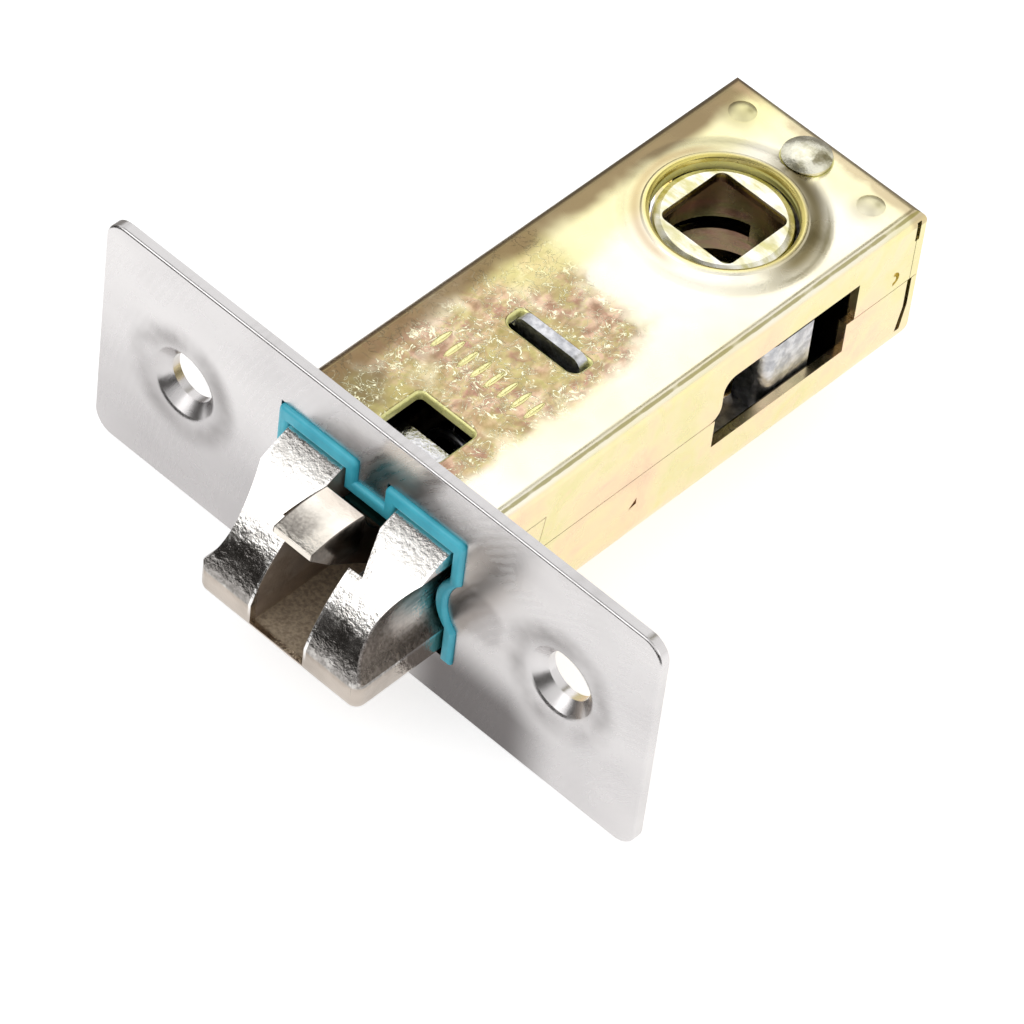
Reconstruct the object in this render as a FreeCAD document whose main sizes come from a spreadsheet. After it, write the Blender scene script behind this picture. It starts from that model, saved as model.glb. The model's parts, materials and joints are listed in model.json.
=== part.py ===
"""Door latch in a flat case: sprung bolt with a centre lever, a follower and a pressed face plate."""
import FreeCAD, Part
import os
import re
import Sketcher
from FreeCAD import Vector

# Frame: origin at the middle of the face plate's front, +Y into the door, +Z along the spindle.
# A size written as a formula follows the sizes that it names.

SIZES = {
    # Face plate
    "plate_length": 60.0,
    "plate_height": 24.0,
    "plate_thickness": 1.0,
    "plate_corner": 2.0,
    "plate_edge": 0.25,
    "screw_spacing": 41.4,
    "screw_hole_radius": 2.25,
    "dish_radius": 3.5,
    "dish_depth": 2.0,
    "dish_bore": 0.8,
    "dish_wall": 0.9,
    "dish_rim": 0.6,
    "dish_lip": 0.8,
    "opening_margin": 0.4,
    "opening_half_width": "case_half_width - opening_margin",
    "opening_half_height": "case_half_height - case_sheet",
    "tab_half_width": 1.5,
    "tab_drop": 2.3,
    "bump_depth": 1.2,
    "bump_centre": -0.5,
    "bump_half_height": 2.8,
    # Collar
    "collar_gap": 0.05,
    "collar_top_band": 1.6,
    "collar_side_band": 1.15,
    "collar_proud": 0.45,
    "collar_end": 3.4,
    "collar_tab_band": 1.2,
    "collar_dip_band": 1.4,
    "collar_round": 0.4,
    "collar_corner": 0.6,
    # Case
    "case_half_width": 10.5,
    "case_half_height": 8.0,
    "case_end": 53.0,
    "case_sheet": 0.9,
    "top_fold": 1.2,
    "bottom_fold": 2.8,
    "seam_height": 0.6,
    "seam_gap": 0.06,
    "ear_width": 3.5,
    "ear_reach": "case_half_width + ear_width",
    "ear_inset": 2.6,
    "ear_half_height": "case_half_height - ear_inset",
    "rear_slit": 0.25,
    "relief_inset": 0.8,
    "relief_height": 2.1,
    "relief_width": 0.5,
    "slit_sweep": 0.6,
    "window_front": 3.7,
    "window_back": 8.2,
    "window_half_width": 3.05,
    "window_corner": 0.5,
    "rolled_edge": 0.35,
    "hook_front": 5.6,
    "hook_back": 8.7,
    "hook_top": 4.1,
    "hook_waist": 0.5,
    "side_front": 28.7,
    "side_setback": 0.6,
    "side_corner": 1.3,
    "side_back": 45.3,
    "side_step": 44.4,
    "side_top": 4.6,
    "side_bottom": -2.6,
    "dimple_inset": 3.45,
    "dimple_radius": 1.2,
    "dimple_height": 0.42,
    "rivet_depth": 49.8,
    "mark_depth": 0.4,
    "crescent_height": 2.0,
    "crescent_radius": 0.75,
    "dent_place": 19.5,
    "dent_height": -2.5,
    "dent_size": 0.45,
    # Bulkhead
    "bulkhead_back": 20.4,
    "bulkhead_sheet": 1.0,
    "slot_width": 2.0,
    "slot_half_length": 3.85,
    "slot_front_corner": 0.9,
    "tab_gap": 0.3,
    "tab_proud": 0.3,
    "tab_corner": 1.0,
    "fit_gap": 0.1,
    # Bolt
    "bolt_side_play": 0.15,
    "bolt_top_play": 0.05,
    "bolt_floor_play": 0.2,
    "bolt_half_width": "opening_half_width - collar_side_band - bolt_side_play",
    "bolt_top": "opening_half_height - collar_top_band - bolt_top_play",
    "bolt_floor": "opening_half_height - bolt_floor_play",
    "bolt_reach": 9.6,
    "bolt_rear": 6.8,
    "nose_height": 3.0,
    "bevel_bulge": 1.45,
    "nose_round": 1.2,
    "keel_round": 1.0,
    "mouth_half_width": 2.9,
    "mouth_sill": 1.0,
    "mouth_floor": "bolt_floor - mouth_sill",
    "mouth_back": 3.3,
    "notch_front": 5.2,
    "notch_back": 2.0,
    "notch_depth": 1.45,
    "notch_floor": 0.6,
    "groove_depth": 1.4,
    "groove_centre": 0.05,
    "groove_half_height": 3.75,
    "stem_height": -0.85,
    "stem_radius": 1.8,
    "stem_seat": 4.7,
    "stem_end": 23.1,
    "stem_end_chamfer": 0.4,
    "boss_radius": 2.9,
    "boss_end": 9.8,
    "spring_seat": 4.5,
    "spring_pocket_radius": 4.4,
    "cross_pin_radius": 0.75,
    "cross_pin_depth": 8.4,
    "spring_radius": 3.7,
    "spring_wire": 0.4,
    "spring_turns": 6.0,
    # Centre lever
    "pivot_depth": 0.8,
    "pivot_height": -1.0,
    "pivot_radius": 1.0,
    "pivot_gap": 0.05,
    "pivot_inset": 1.5,
    "pivot_half_length": "bolt_half_width - pivot_inset",
    "lever_half_width": 2.1,
    "lever_hub": 1.9,
    "lever_tip": -8.75,
    "lever_rise": 0.45,
    "lever_top": "bolt_top + lever_rise",
    "lever_lip": 0.55,
    "lever_throat": -6.6,
    "lever_shoulder": -3.0,
    "saddle_room": 0.35,
    "lever_saddle": "opening_half_height - tab_drop - collar_dip_band - saddle_room",
    "belly_drop": 0.1,
    "lever_belly": "lever_saddle - belly_drop",
    "heel_front": 1.25,
    "heel_back": 2.4,
    "heel_room": 0.6,
    "heel_top": "opening_half_height - heel_room",
    # Carriage
    "wall_front": 21.0,
    "carriage_sheet": 0.8,
    "carriage_play": 0.2,
    "rail_width": 3.0,
    "carriage_half_width": "case_half_width - case_sheet - carriage_play",
    "carriage_floor": "clip_radius - stem_height + clip_room + carriage_sheet",
    "wall_top": 2.6,
    "wall_half_width": "carriage_half_width - rail_width",
    "fork_front": 23.9,
    "fork_half_width": "carriage_half_width - rail_width",
    "carriage_end": 41.4,
    "ear_top": 2.4,
    "lip_setback": 3.6,
    "lip_face": "backset - arm_reach + lip_setback",
    "lip_inner": "carriage_half_width - rail_width",
    "lip_bend": 1.3,
    "washer_radius": 3.6,
    "clip_radius": 3.3,
    "clip_room": 0.65,
    "clip_groove": 1.35,
    "clip_sheet": 0.6,
    "clip_mouth": 1.1,
    # Follower
    "backset": 40.0,
    "hub_margin": 4.6,
    "hub_play": 0.25,
    "hub_hole_radius": "cup_radius + hub_play",
    "hub_lip_width": 0.75,
    "hub_lip_height": 0.3,
    "mound_width": 3.05,
    "mound_radius": "hub_hole_radius + mound_width",
    "mound_height": 0.42,
    "cup_radius": "case_half_width - hub_margin",
    "cup_wall": 0.7,
    "cup_sink": 0.2,
    "cup_top": "case_half_height - cup_sink",
    "cup_rim": 2.6,
    "cup_end_sheet": 1.0,
    "cup_round": 0.7,
    "spindle_share": 1.288,
    "spindle_square": "cup_radius * spindle_share",
    "square_corner": 0.8,
    "cam_half_thickness": 1.2,
    "cam_margin": 0.05,
    "cam_radius": "cup_radius + cam_margin",
    "arm_room": 1.9,
    "arm_reach": "case_half_width - case_sheet - arm_room",
    "arm_tip": 0.7,
    "arm_root": 0.8,
    "arm_rest_angle": 41.0,
    "lug_half_width": 1.0,
    "lug_length": 0.7,
    "lug_gap": 0.03,
    # Rear rivet
    "rivet_radius": 1.45,
    "rivet_head_radius": 2.15,
    "rivet_head_height": 0.95,
    "rivet_rim": 0.45,
    "rivet_sink": 0.05,
    "spacer_radius": 2.2,
}

doc = FreeCAD.newDocument("door_latch")
sheet = doc.addObject("Spreadsheet::Sheet", "Sizes")
for row, name in enumerate(SIZES, start=1):
    sheet.set(f"A{row}", name)
    sheet.setAlias(f"B{row}", name)
for row, value in enumerate(SIZES.values(), start=1):
    sheet.set(f"B{row}", f"={value}")
doc.recompute()


def formula(text):
    """Write the names of sizes in a formula as references to the sheet."""
    def reference(word):
        return "Sizes." + word[0] if word[0] in SIZES else word[0]
    return re.sub(r"[a-z][a-z_]*", reference, str(text))


def size(text):
    """Work out a formula of sizes as a number."""
    answer = sheet.evalExpression(formula(text))
    return float(getattr(answer, "Value", answer))


def new_body(name):
    """Start one piece, which is one node of the latch."""
    body = doc.addObject("PartDesign::Body", name)
    body.Label = name
    return body


def new_sketch(body, name, plane, level="0", across="0"):
    """Attach a sketch to an origin plane, moved along its normal to a level and along its own x."""
    sketch = body.newObject("Sketcher::SketchObject", name)
    planes = {item.Role: item for item in body.Origin.OriginFeatures}
    sketch.AttachmentSupport = (planes[plane], "")
    sketch.MapMode = "FlatFace"
    normal = "-1" if plane == "XZ_Plane" else "1"
    sketch.setExpression("AttachmentOffset.Base.z", f"{normal} * ({formula(level)})")
    sketch.setExpression("AttachmentOffset.Base.x", formula(across))
    return sketch


def fix_point(sketch, geometry, end, place):
    """Hold a point of a sketch at a place that follows the sheet."""
    for kind, text in zip(("DistanceX", "DistanceY"), place):
        row = sketch.addConstraint(Sketcher.Constraint(kind, -1, 1, geometry, end, size(text)))
        sketch.setExpression(f"Constraints[{row}]", formula(text))


def draw_outline(sketch, corners):
    """Draw a closed outline; a corner with four formulas is reached by an arc through the last two."""
    places = [corner[:2] for corner in corners]
    first = sketch.GeometryCount
    for index, start in enumerate(places):
        follower = corners[(index + 1) % len(corners)]
        begin = Vector(size(start[0]), size(start[1]), 0)
        finish = Vector(size(follower[0]), size(follower[1]), 0)
        if len(follower) == 4:
            through = Vector(size(follower[2]), size(follower[3]), 0)
            anticlockwise = (through - begin).cross(finish - begin).z > 0
            ends = (begin, finish) if anticlockwise else (finish, begin)
            sketch.addGeometry(Part.Arc(ends[0], through, ends[1]), False)
        else:
            sketch.addGeometry(Part.LineSegment(begin, finish), False)
    count = len(corners)
    for index in range(count):
        this, other = first + index, first + (index + 1) % count
        end = 2 if begins_first(sketch.Geometry[this], places[index]) else 1
        start = 1 if begins_first(sketch.Geometry[other], places[(index + 1) % count]) else 2
        sketch.addConstraint(Sketcher.Constraint("Coincident", this, end, other, start))
    for index, place in enumerate(places):
        end = 1 if begins_first(sketch.Geometry[first + index], place) else 2
        fix_point(sketch, first + index, end, place)
        follower = corners[(index + 1) % count]
        if len(follower) == 4:
            point = sketch.addGeometry(Part.Point(Vector(size(follower[2]), size(follower[3]), 0)), True)
            fix_point(sketch, point, 1, follower[2:])
            sketch.addConstraint(Sketcher.Constraint("PointOnObject", point, 1, first + index))


def begins_first(edge, place):
    """Say whether an edge of a sketch starts at a place; an arc may run the other way."""
    return edge.StartPoint.distanceToPoint(Vector(size(place[0]), size(place[1]), 0)) < 1e-6


def draw_circle(sketch, x, y, radius):
    """Draw a circle held by its centre and radius."""
    centre = Vector(size(x), size(y), 0)
    circle = sketch.addGeometry(Part.Circle(centre, Vector(0, 0, 1), size(radius)), False)
    fix_point(sketch, circle, 3, (x, y))
    row = sketch.addConstraint(Sketcher.Constraint("Radius", circle, size(radius)))
    sketch.setExpression(f"Constraints[{row}]", formula(radius))


def box_corners(left, bottom, right, top):
    """List the corners of a rectangle."""
    return [(left, bottom), (right, bottom), (right, top), (left, top)]


def add_feature(body, kind, name, sketch, length=None, back=False, middle=False):
    """Add a pad or a pocket that follows its sketch; no length means right through."""
    feature = body.newObject(kind, name)
    feature.Profile = sketch
    feature.Reversed = back
    if middle:
        feature.SideType = "Symmetric"
    if length is None:
        feature.Type = "ThroughAll"
    else:
        feature.setExpression("Length", formula(length))
    doc.recompute()
    return feature


def pad(body, name, sketch, length, back=False, middle=False):
    """Add material."""
    return add_feature(body, "PartDesign::Pad", name, sketch, length, back, middle)


def pocket(body, name, sketch, length=None, back=False, middle=False):
    """Take material away, and make sure that some went."""
    before = body.Shape.Volume
    feature = add_feature(body, "PartDesign::Pocket", name, sketch, length, back, middle)
    if body.Shape.Volume > before - 1e-6:
        raise ValueError(f"{body.Label}: {name} cuts nothing")
    return feature


def turn(body, kind, name, sketch, axis="V_Axis"):
    """Add or take away a full turn of a sketch about its own axis."""
    feature = body.newObject(kind, name)
    feature.Profile = sketch
    feature.ReferenceAxis = (sketch, [axis])
    feature.Angle = 360
    doc.recompute()
    return feature


def round_edges(body, name, chosen, radius):
    """Round the edges of a body that a test picks."""
    names = [f"Edge{number}" for number, edge in enumerate(body.Shape.Edges, start=1) if chosen(edge)]
    if not names:
        raise ValueError(f"{body.Label}: {name} finds no edge")
    tip = body.Tip
    feature = body.newObject("PartDesign::Fillet", name)
    feature.Base = (tip, names)
    feature.setExpression("Radius", formula(radius))
    doc.recompute()
    return feature


def near(value, target):
    """Compare two lengths."""
    return abs(value - target) < 1e-4


def straight_along(edge, axis):
    """Say whether an edge is a straight line along X, Y or Z."""
    if edge.Curve.TypeId != "Part::GeomLine":
        return False
    return abs(getattr(edge.Curve.Direction, axis)) > 0.999


def middle_of(edge):
    """Find the point halfway along an edge."""
    return edge.valueAt((edge.FirstParameter + edge.LastParameter) / 2)


def mirrored(corner):
    """Flip a corner of an outline left to right."""
    return tuple(f"-({text})" if place % 2 == 0 else text for place, text in enumerate(corner))


def both_sides(right):
    """Close the right half of an outline with its mirror image."""
    left = []
    for index in range(len(right) - 1, -1, -1):
        corner = mirrored(right[index][:2])
        if index + 1 < len(right):
            corner = corner + mirrored(right[index + 1][2:])
        left.append(corner)
    return right + left


CASE_INNER_WIDTH = "(case_half_width - case_sheet)"
CASE_INNER_HEIGHT = "(case_half_height - case_sheet)"
BULKHEAD_FRONT = "(bulkhead_back - bulkhead_sheet)"
REAR_FLAP = "(case_end - case_sheet)"
HEAD_SEAT = "(case_half_height - rivet_sink)"


def opening_half(side, top, tab, tab_end, bump, bottom):
    """List the right half of the plate's opening, with the tab at its top and the bump at its side."""
    low = "bump_centre - bump_half_height"
    high = "bump_centre + bump_half_height"
    return [(side, bottom), (side, low), (side, high, bump, "bump_centre"), (side, top), (tab, top),
            (tab, tab_end)]


def make_face_plate():
    """Flat pressed plate with two dished screw holes and the bolt's opening."""
    body = new_body("face_plate")
    outline = new_sketch(body, "plate_outline", "XZ_Plane")
    draw_outline(outline, box_corners("-plate_length/2", "-plate_height/2",
                                      "plate_length/2", "plate_height/2"))
    pad(body, "plate_blank", outline, "plate_thickness", back=True)
    round_edges(body, "plate_corners", lambda edge: straight_along(edge, "y"), "plate_corner")
    round_edges(body, "plate_rim", lambda edge: near(middle_of(edge).y, 0), "plate_edge")
    openings = new_sketch(body, "dish_openings", "XZ_Plane")
    for side in ("-", ""):
        draw_circle(openings, f"{side}screw_spacing/2", "0", "dish_radius")
    pocket(body, "dish_ways", openings, middle=True)
    for number, side in enumerate(("-", ""), start=1):
        dish = new_sketch(body, f"dish_section_{number}", "XY_Plane", across=f"{side}screw_spacing/2")
        draw_outline(dish, [("dish_radius", "0"), ("screw_hole_radius", "dish_depth - dish_bore"),
                            ("screw_hole_radius", "dish_depth"),
                            ("screw_hole_radius + dish_wall", "dish_depth"),
                            ("dish_radius + dish_rim", "plate_thickness"), ("dish_radius + dish_rim", "0")])
        turn(body, "PartDesign::Revolution", f"dish_{number}", dish)
    round_edges(body, "dish_lips", lambda edge: near(middle_of(edge).y, 0) and near(
        edge.BoundBox.XLength, size("2 * dish_radius")), "dish_lip")
    opening = new_sketch(body, "bolt_opening", "XZ_Plane")
    draw_outline(opening, both_sides(opening_half(
        "opening_half_width", "opening_half_height", "tab_half_width", "opening_half_height - tab_drop",
        "opening_half_width - bump_depth", "-opening_half_height")))
    pocket(body, "bolt_way", opening, middle=True)
    return body


def make_collar():
    """Soft plastic collar round three sides of the bolt, proud of the plate at the front."""
    body = new_body("bolt_collar")
    rim = new_sketch(body, "collar_rim", "XZ_Plane", level="-collar_proud")
    draw_outline(rim, both_sides(opening_half(
        "opening_half_width - collar_gap", "opening_half_height - collar_gap", "tab_half_width + collar_gap",
        "opening_half_height - tab_drop - collar_gap", "opening_half_width - bump_depth - collar_gap",
        "collar_gap - opening_half_height")))
    pad(body, "collar_front", rim, "collar_proud + plate_thickness", back=True)
    top = size("opening_half_height - collar_gap")
    round_edges(body, "collar_corners", lambda edge: straight_along(edge, "y") and near(
        middle_of(edge).z, top), "collar_corner")
    sleeve = new_sketch(body, "collar_sleeve", "XZ_Plane", level="plate_thickness")
    side = f"{CASE_INNER_WIDTH} - fit_gap"
    draw_outline(sleeve, box_corners(f"-({side})", "bottom_fold - case_half_height", side,
                                     f"{CASE_INNER_HEIGHT} - fit_gap"))
    pad(body, "collar_back", sleeve, "collar_end - plate_thickness", back=True)
    way = new_sketch(body, "collar_way", "XZ_Plane")
    draw_outline(way, both_sides(opening_half(
        "opening_half_width - collar_side_band", "opening_half_height - collar_top_band",
        "tab_half_width + collar_tab_band", "opening_half_height - tab_drop - collar_dip_band",
        "opening_half_width - bump_depth - collar_side_band", "-case_half_height")))
    pocket(body, "bolt_way", way, middle=True)
    heel = new_sketch(body, "heel_room", "XZ_Plane", level="plate_thickness")
    draw_outline(heel, box_corners("-mouth_half_width", "0", "mouth_half_width", "case_half_height"))
    pocket(body, "heel_way", heel, "collar_end")
    front = -size("collar_proud")
    round_edges(body, "collar_bead", lambda edge: near(middle_of(edge).y, front), "collar_round")
    return body


def shell_blank(body, low, high):
    """Pad the solid form of one half of the case."""
    outer = new_sketch(body, "outer_section", "XZ_Plane", level="plate_thickness")
    draw_outline(outer, box_corners("-case_half_width", low, "case_half_width", high))
    pad(body, "outer_form", outer, "case_end - plate_thickness", back=True)


def hollow_shell(body, low, high):
    """Hollow a half of the case, which leaves its sheet and its rear flap."""
    inner = new_sketch(body, "inner_section", "XZ_Plane", level="plate_thickness")
    draw_outline(inner, box_corners(f"-{CASE_INNER_WIDTH}", low, CASE_INNER_WIDTH, high))
    pocket(body, "inner_form", inner, "case_end - plate_thickness - case_sheet")


def add_lip(body):
    """Raise the round lip on the lower half."""
    lip = new_sketch(body, "hub_lip", "XY_Plane", level="-case_half_height")
    draw_circle(lip, "0", "backset", "hub_hole_radius + hub_lip_width")
    pad(body, "lip", lip, "hub_lip_height", back=True)


def add_mound(body):
    """Raise the pressed mound round the follower's hole, with a bead at its inner edge."""
    mound = new_sketch(body, "mound_section", "XZ_Plane", level="backset")
    slope = [(f"hub_hole_radius + hub_lip_width + (mound_width - hub_lip_width) * {out}",
              f"case_half_height + mound_height * {up}")
             for out, up in ((1, 0), (0.8, 0.14), (0.55, 0.45), (0.3, 0.74), (0, 0.85))]
    bead = [(f"hub_hole_radius + hub_lip_width * {out}", f"case_half_height + mound_height * {up}")
            for out, up in ((0.8, 1.15), (0.4, 1.25), (0.1, 1.05), (0, 0.7), (-1, 0.7))]
    draw_outline(mound, slope + bead + [
        ("hub_hole_radius - hub_lip_width", "case_half_height - case_sheet/2"),
        ("mound_radius", "case_half_height - case_sheet/2")])
    turn(body, "PartDesign::Revolution", "mound", mound)
    seat = new_sketch(body, "rivet_seat", "XY_Plane", level=HEAD_SEAT)
    draw_circle(seat, "0", "rivet_depth", "rivet_head_radius + fit_gap")
    pocket(body, "seat", seat, "2 * mound_height", back=True)


def hub_openings(body, level):
    """Cut the follower's hole, the rivet's hole and the bulkhead's slot with its rounded corners."""
    holes = new_sketch(body, "round_holes", "XY_Plane", level=level)
    draw_circle(holes, "0", "backset", "hub_hole_radius")
    draw_circle(holes, "0", "rivet_depth", "rivet_radius + collar_gap")
    front = "bulkhead_back - slot_width"
    draw_outline(holes, box_corners("-slot_half_length", front, "slot_half_length", "bulkhead_back"))
    pocket(body, "holes", holes, middle=True)
    corners = {"slot_front": (front, "slot_front_corner"), "slot_back": ("bulkhead_back", "tab_gap")}
    for name, (depth, radius) in corners.items():
        place = size(depth)
        round_edges(body, name, lambda edge: straight_along(edge, "z") and near(
            middle_of(edge).y, place), radius)


def side_mark(body, name, place, height, corners, depth="mark_depth"):
    """Cut a mark into both side walls from outside, no deeper than asked."""
    for number, side in enumerate(("-", ""), start=1):
        mark = new_sketch(body, f"{name}_{number}", "YZ_Plane", level=f"{side}case_half_width")
        draw_outline(mark, [tuple(f"{(place, height)[turn % 2]} + ({text})"
                                  for turn, text in enumerate(corner)) for corner in corners])
        pocket(body, f"{name}_cut_{number}", mark, depth, back=bool(side))


def side_cut(body, name, corners):
    """Cut both side walls with one outline."""
    cut = new_sketch(body, name, "YZ_Plane")
    draw_outline(cut, corners)
    return pocket(body, name + "_cut", cut, middle=True)


def hook_corners(gap):
    """List the corners of the hook that ties the case's halves, wider at its top."""
    return [(f"hook_front + hook_waist - {gap}", "seam_height - case_sheet"),
            (f"hook_back - hook_waist + {gap}", "seam_height - case_sheet"),
            (f"hook_back - hook_waist + {gap}", "seam_height + hook_waist"),
            (f"hook_back + {gap}", f"hook_top + {gap}"), (f"hook_front - {gap}", f"hook_top + {gap}"),
            (f"hook_front + hook_waist - {gap}", "seam_height + hook_waist")]


def cap_corners(base, radius, rim, height):
    """List half the section of a round head: a rim that rises to a cap with its crown on the axis."""
    rise = f"({height} - ({rim}))"
    ball = f"(({radius}^2 + {rise}^2) / (2 * {rise}))"
    return [("0", base), (radius, base), (radius, f"{base} + {rim}"),
            ("0", f"{base} + {height}", f"{radius}/2",
             f"{base} + {height} - {ball} + sqrt({ball}^2 - ({radius}/2)^2)")]


def add_ears(body, low, high):
    """Turn the side walls' front edges outwards behind the plate, where they are welded to it."""
    ears = new_sketch(body, "weld_ears", "XZ_Plane", level="plate_thickness")
    for side in ("-", ""):
        draw_outline(ears, box_corners(f"{side}{CASE_INNER_WIDTH}", low, f"{side}ear_reach", high))
    pad(body, "ears", ears, "case_sheet", back=True)





def make_case_upper():
    """Upper half of the case, folded from sheet, with its rear flap."""
    body = new_body("case_upper")
    shell_blank(body, "seam_height", "case_half_height")
    top, end = size("case_half_height"), size("case_end")
    round_edges(body, "top_folds", lambda edge: near(middle_of(edge).z, top) and (
        straight_along(edge, "y") or near(middle_of(edge).y, end)), "top_fold")
    hollow_shell(body, "-case_half_height", CASE_INNER_HEIGHT)
    add_mound(body)
    hub_openings(body, "case_half_height")
    window = new_sketch(body, "top_window", "XY_Plane", level="case_half_height")
    draw_outline(window, box_corners("-window_half_width", "window_front",
                                     "window_half_width", "window_back"))
    pocket(body, "window", window, "case_half_height/2")
    half = size("window_half_width")
    round_edges(body, "window_corners", lambda edge: straight_along(edge, "z") and near(
        abs(middle_of(edge).x), half), "window_corner")
    slot_end, slot_side = size("bulkhead_back") + 1e-4, size("slot_half_length") + 1e-4

    def round_the_holes(edge):
        middle = middle_of(edge)
        flat = near(middle.z, top) and near(edge.BoundBox.ZLength, 0)
        return flat and 2 < middle.y < slot_end and abs(middle.x) < slot_side
    round_edges(body, "rolled_edges", round_the_holes, "rolled_edge")
    side_cut(body, "side_window", box_corners("side_front + side_setback", "0", "side_back", "side_top"))
    corner = size("side_front + side_setback")
    round_edges(body, "side_corner", lambda edge: straight_along(edge, "x") and near(
        middle_of(edge).y, corner), "side_corner")
    side_cut(body, "hook_seat", hook_corners("seam_gap"))
    relief = "(case_half_height - relief_inset)"
    side_cut(body, "flap_slit", box_corners(f"{REAR_FLAP} - seam_gap", "0", REAR_FLAP, relief))
    side_mark(body, "fold_relief", REAR_FLAP, relief, box_corners(
        "-relief_width/2", "-relief_height", "relief_width/2", "0"), "1.5 * case_sheet")
    add_ears(body, "seam_height + seam_gap", "ear_half_height")
    inside = "crescent_radius - mark_depth"
    side_mark(body, "crescent", "rivet_depth", "crescent_height", [
        ("0", "crescent_radius"), ("0", "-crescent_radius", "crescent_radius", "0"),
        ("0", f"-({inside})"), ("0", inside, inside, "0")])
    for number, side in enumerate(("-", ""), start=1):
        dimple = new_sketch(body, f"dimple_{number}", "XZ_Plane", level="rivet_depth",
                            across=f"{side}(case_half_width - dimple_inset)")
        draw_outline(dimple, cap_corners("case_half_height - dimple_height", "dimple_radius", "dimple_height",
                                         "2 * dimple_height"))
        turn(body, "PartDesign::Revolution", f"dimple_dome_{number}", dimple)
    return body


def make_case_lower():
    """Lower half of the case, with the hooks that hold the upper half."""
    body = new_body("case_lower")
    shell_blank(body, "-case_half_height", "seam_height - seam_gap")
    bottom, end = -size("case_half_height"), size("case_end")
    round_edges(body, "bottom_folds", lambda edge: near(middle_of(edge).z, bottom) and (
        straight_along(edge, "y") or near(middle_of(edge).y, end)), "bottom_fold")
    hooks = new_sketch(body, "hooks", "YZ_Plane")
    draw_outline(hooks, hook_corners("0"))
    pad(body, "hook_pair", hooks, "2 * case_half_width", middle=True)
    hollow_shell(body, f"-{CASE_INNER_HEIGHT}", "case_half_height")
    round_edges(body, "inner_folds", lambda edge: straight_along(edge, "y") and near(
        middle_of(edge).z, -size(CASE_INNER_HEIGHT)), "bottom_fold - case_sheet")
    add_lip(body)
    hub_openings(body, "-case_half_height")
    side_cut(body, "side_window", box_corners("side_front", "side_bottom", "side_step", "case_half_height"))
    side_mark(body, "flap_slit", REAR_FLAP, "0", [
        ("-rear_slit", "side_bottom"), ("-rear_slit - slit_sweep", "side_bottom * 2"),
        ("-rear_slit", "side_bottom * 2"), ("rear_slit", "side_bottom"), ("rear_slit", "seam_height"),
        ("-rear_slit", "seam_height")], "1.5 * case_sheet")
    add_ears(body, "-ear_half_height", "seam_height - seam_gap")
    side_mark(body, "dent", "dent_place", "dent_height", [
        ("-dent_size", "-dent_size"), ("dent_size", "-dent_size/2"), ("dent_size", "dent_size")])
    return body


def make_bulkhead():
    """Fixed plate that guides the stem and backs the spring, with a tab into each half of the case."""
    body = new_body("guide_bulkhead")
    outline = new_sketch(body, "bulkhead_outline", "XZ_Plane", level=BULKHEAD_FRONT)
    side = f"{CASE_INNER_WIDTH} - fit_gap"
    edge = f"{CASE_INNER_HEIGHT} - fit_gap"
    tab = "slot_half_length - tab_gap"
    draw_outline(outline, both_sides([
        (tab, "-case_half_height"), (tab, f"-({edge})"), (f"{side} - bottom_fold", f"-({edge})"),
        (side, "bottom_fold - case_half_height"), (side, edge), (tab, edge),
        (tab, "case_half_height + tab_proud")]))
    pad(body, "bulkhead_blank", outline, "bulkhead_sheet", back=True)
    top = size("case_half_height + tab_proud")
    round_edges(body, "tab_corners", lambda edge: straight_along(edge, "y") and near(
        middle_of(edge).z, top), "tab_corner")
    hole = new_sketch(body, "stem_hole", "XZ_Plane")
    draw_circle(hole, "0", "stem_height", "stem_radius + fit_gap")
    pocket(body, "stem_way", hole, middle=True)
    return body


def make_rear_rivet():
    """Headed rivet that holds the two halves of the case at the back."""
    body = new_body("rear_rivet")
    section = new_sketch(body, "rivet_section", "XZ_Plane", level="rivet_depth")
    head = cap_corners(HEAD_SEAT, "rivet_head_radius", "rivet_rim", "rivet_head_height")[1:]
    draw_outline(section, [("0", "-case_half_height"), ("rivet_radius", "-case_half_height"),
                           ("rivet_radius", HEAD_SEAT)] + head)
    turn(body, "PartDesign::Revolution", "rivet", section)
    tail = new_sketch(body, "tail_section", "XZ_Plane", level="rivet_depth")
    foot = cap_corners("case_half_height", "rivet_head_radius", "rivet_rim", "rivet_head_height")
    draw_outline(tail, [tuple(f"-({text})" if place % 2 else text for place, text in enumerate(corner))
                        for corner in foot])
    turn(body, "PartDesign::Revolution", "rivet_tail", tail)
    return body


def make_rear_spacer():
    """Tube round the rivet that keeps the case's halves apart."""
    body = new_body("rear_spacer")
    ring = new_sketch(body, "spacer_ring", "XY_Plane")
    draw_circle(ring, "0", "rivet_depth", "spacer_radius")
    draw_circle(ring, "0", "rivet_depth", "rivet_radius + collar_gap")
    pad(body, "spacer", ring, f"2 * {CASE_INNER_HEIGHT}", middle=True)
    return body


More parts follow.
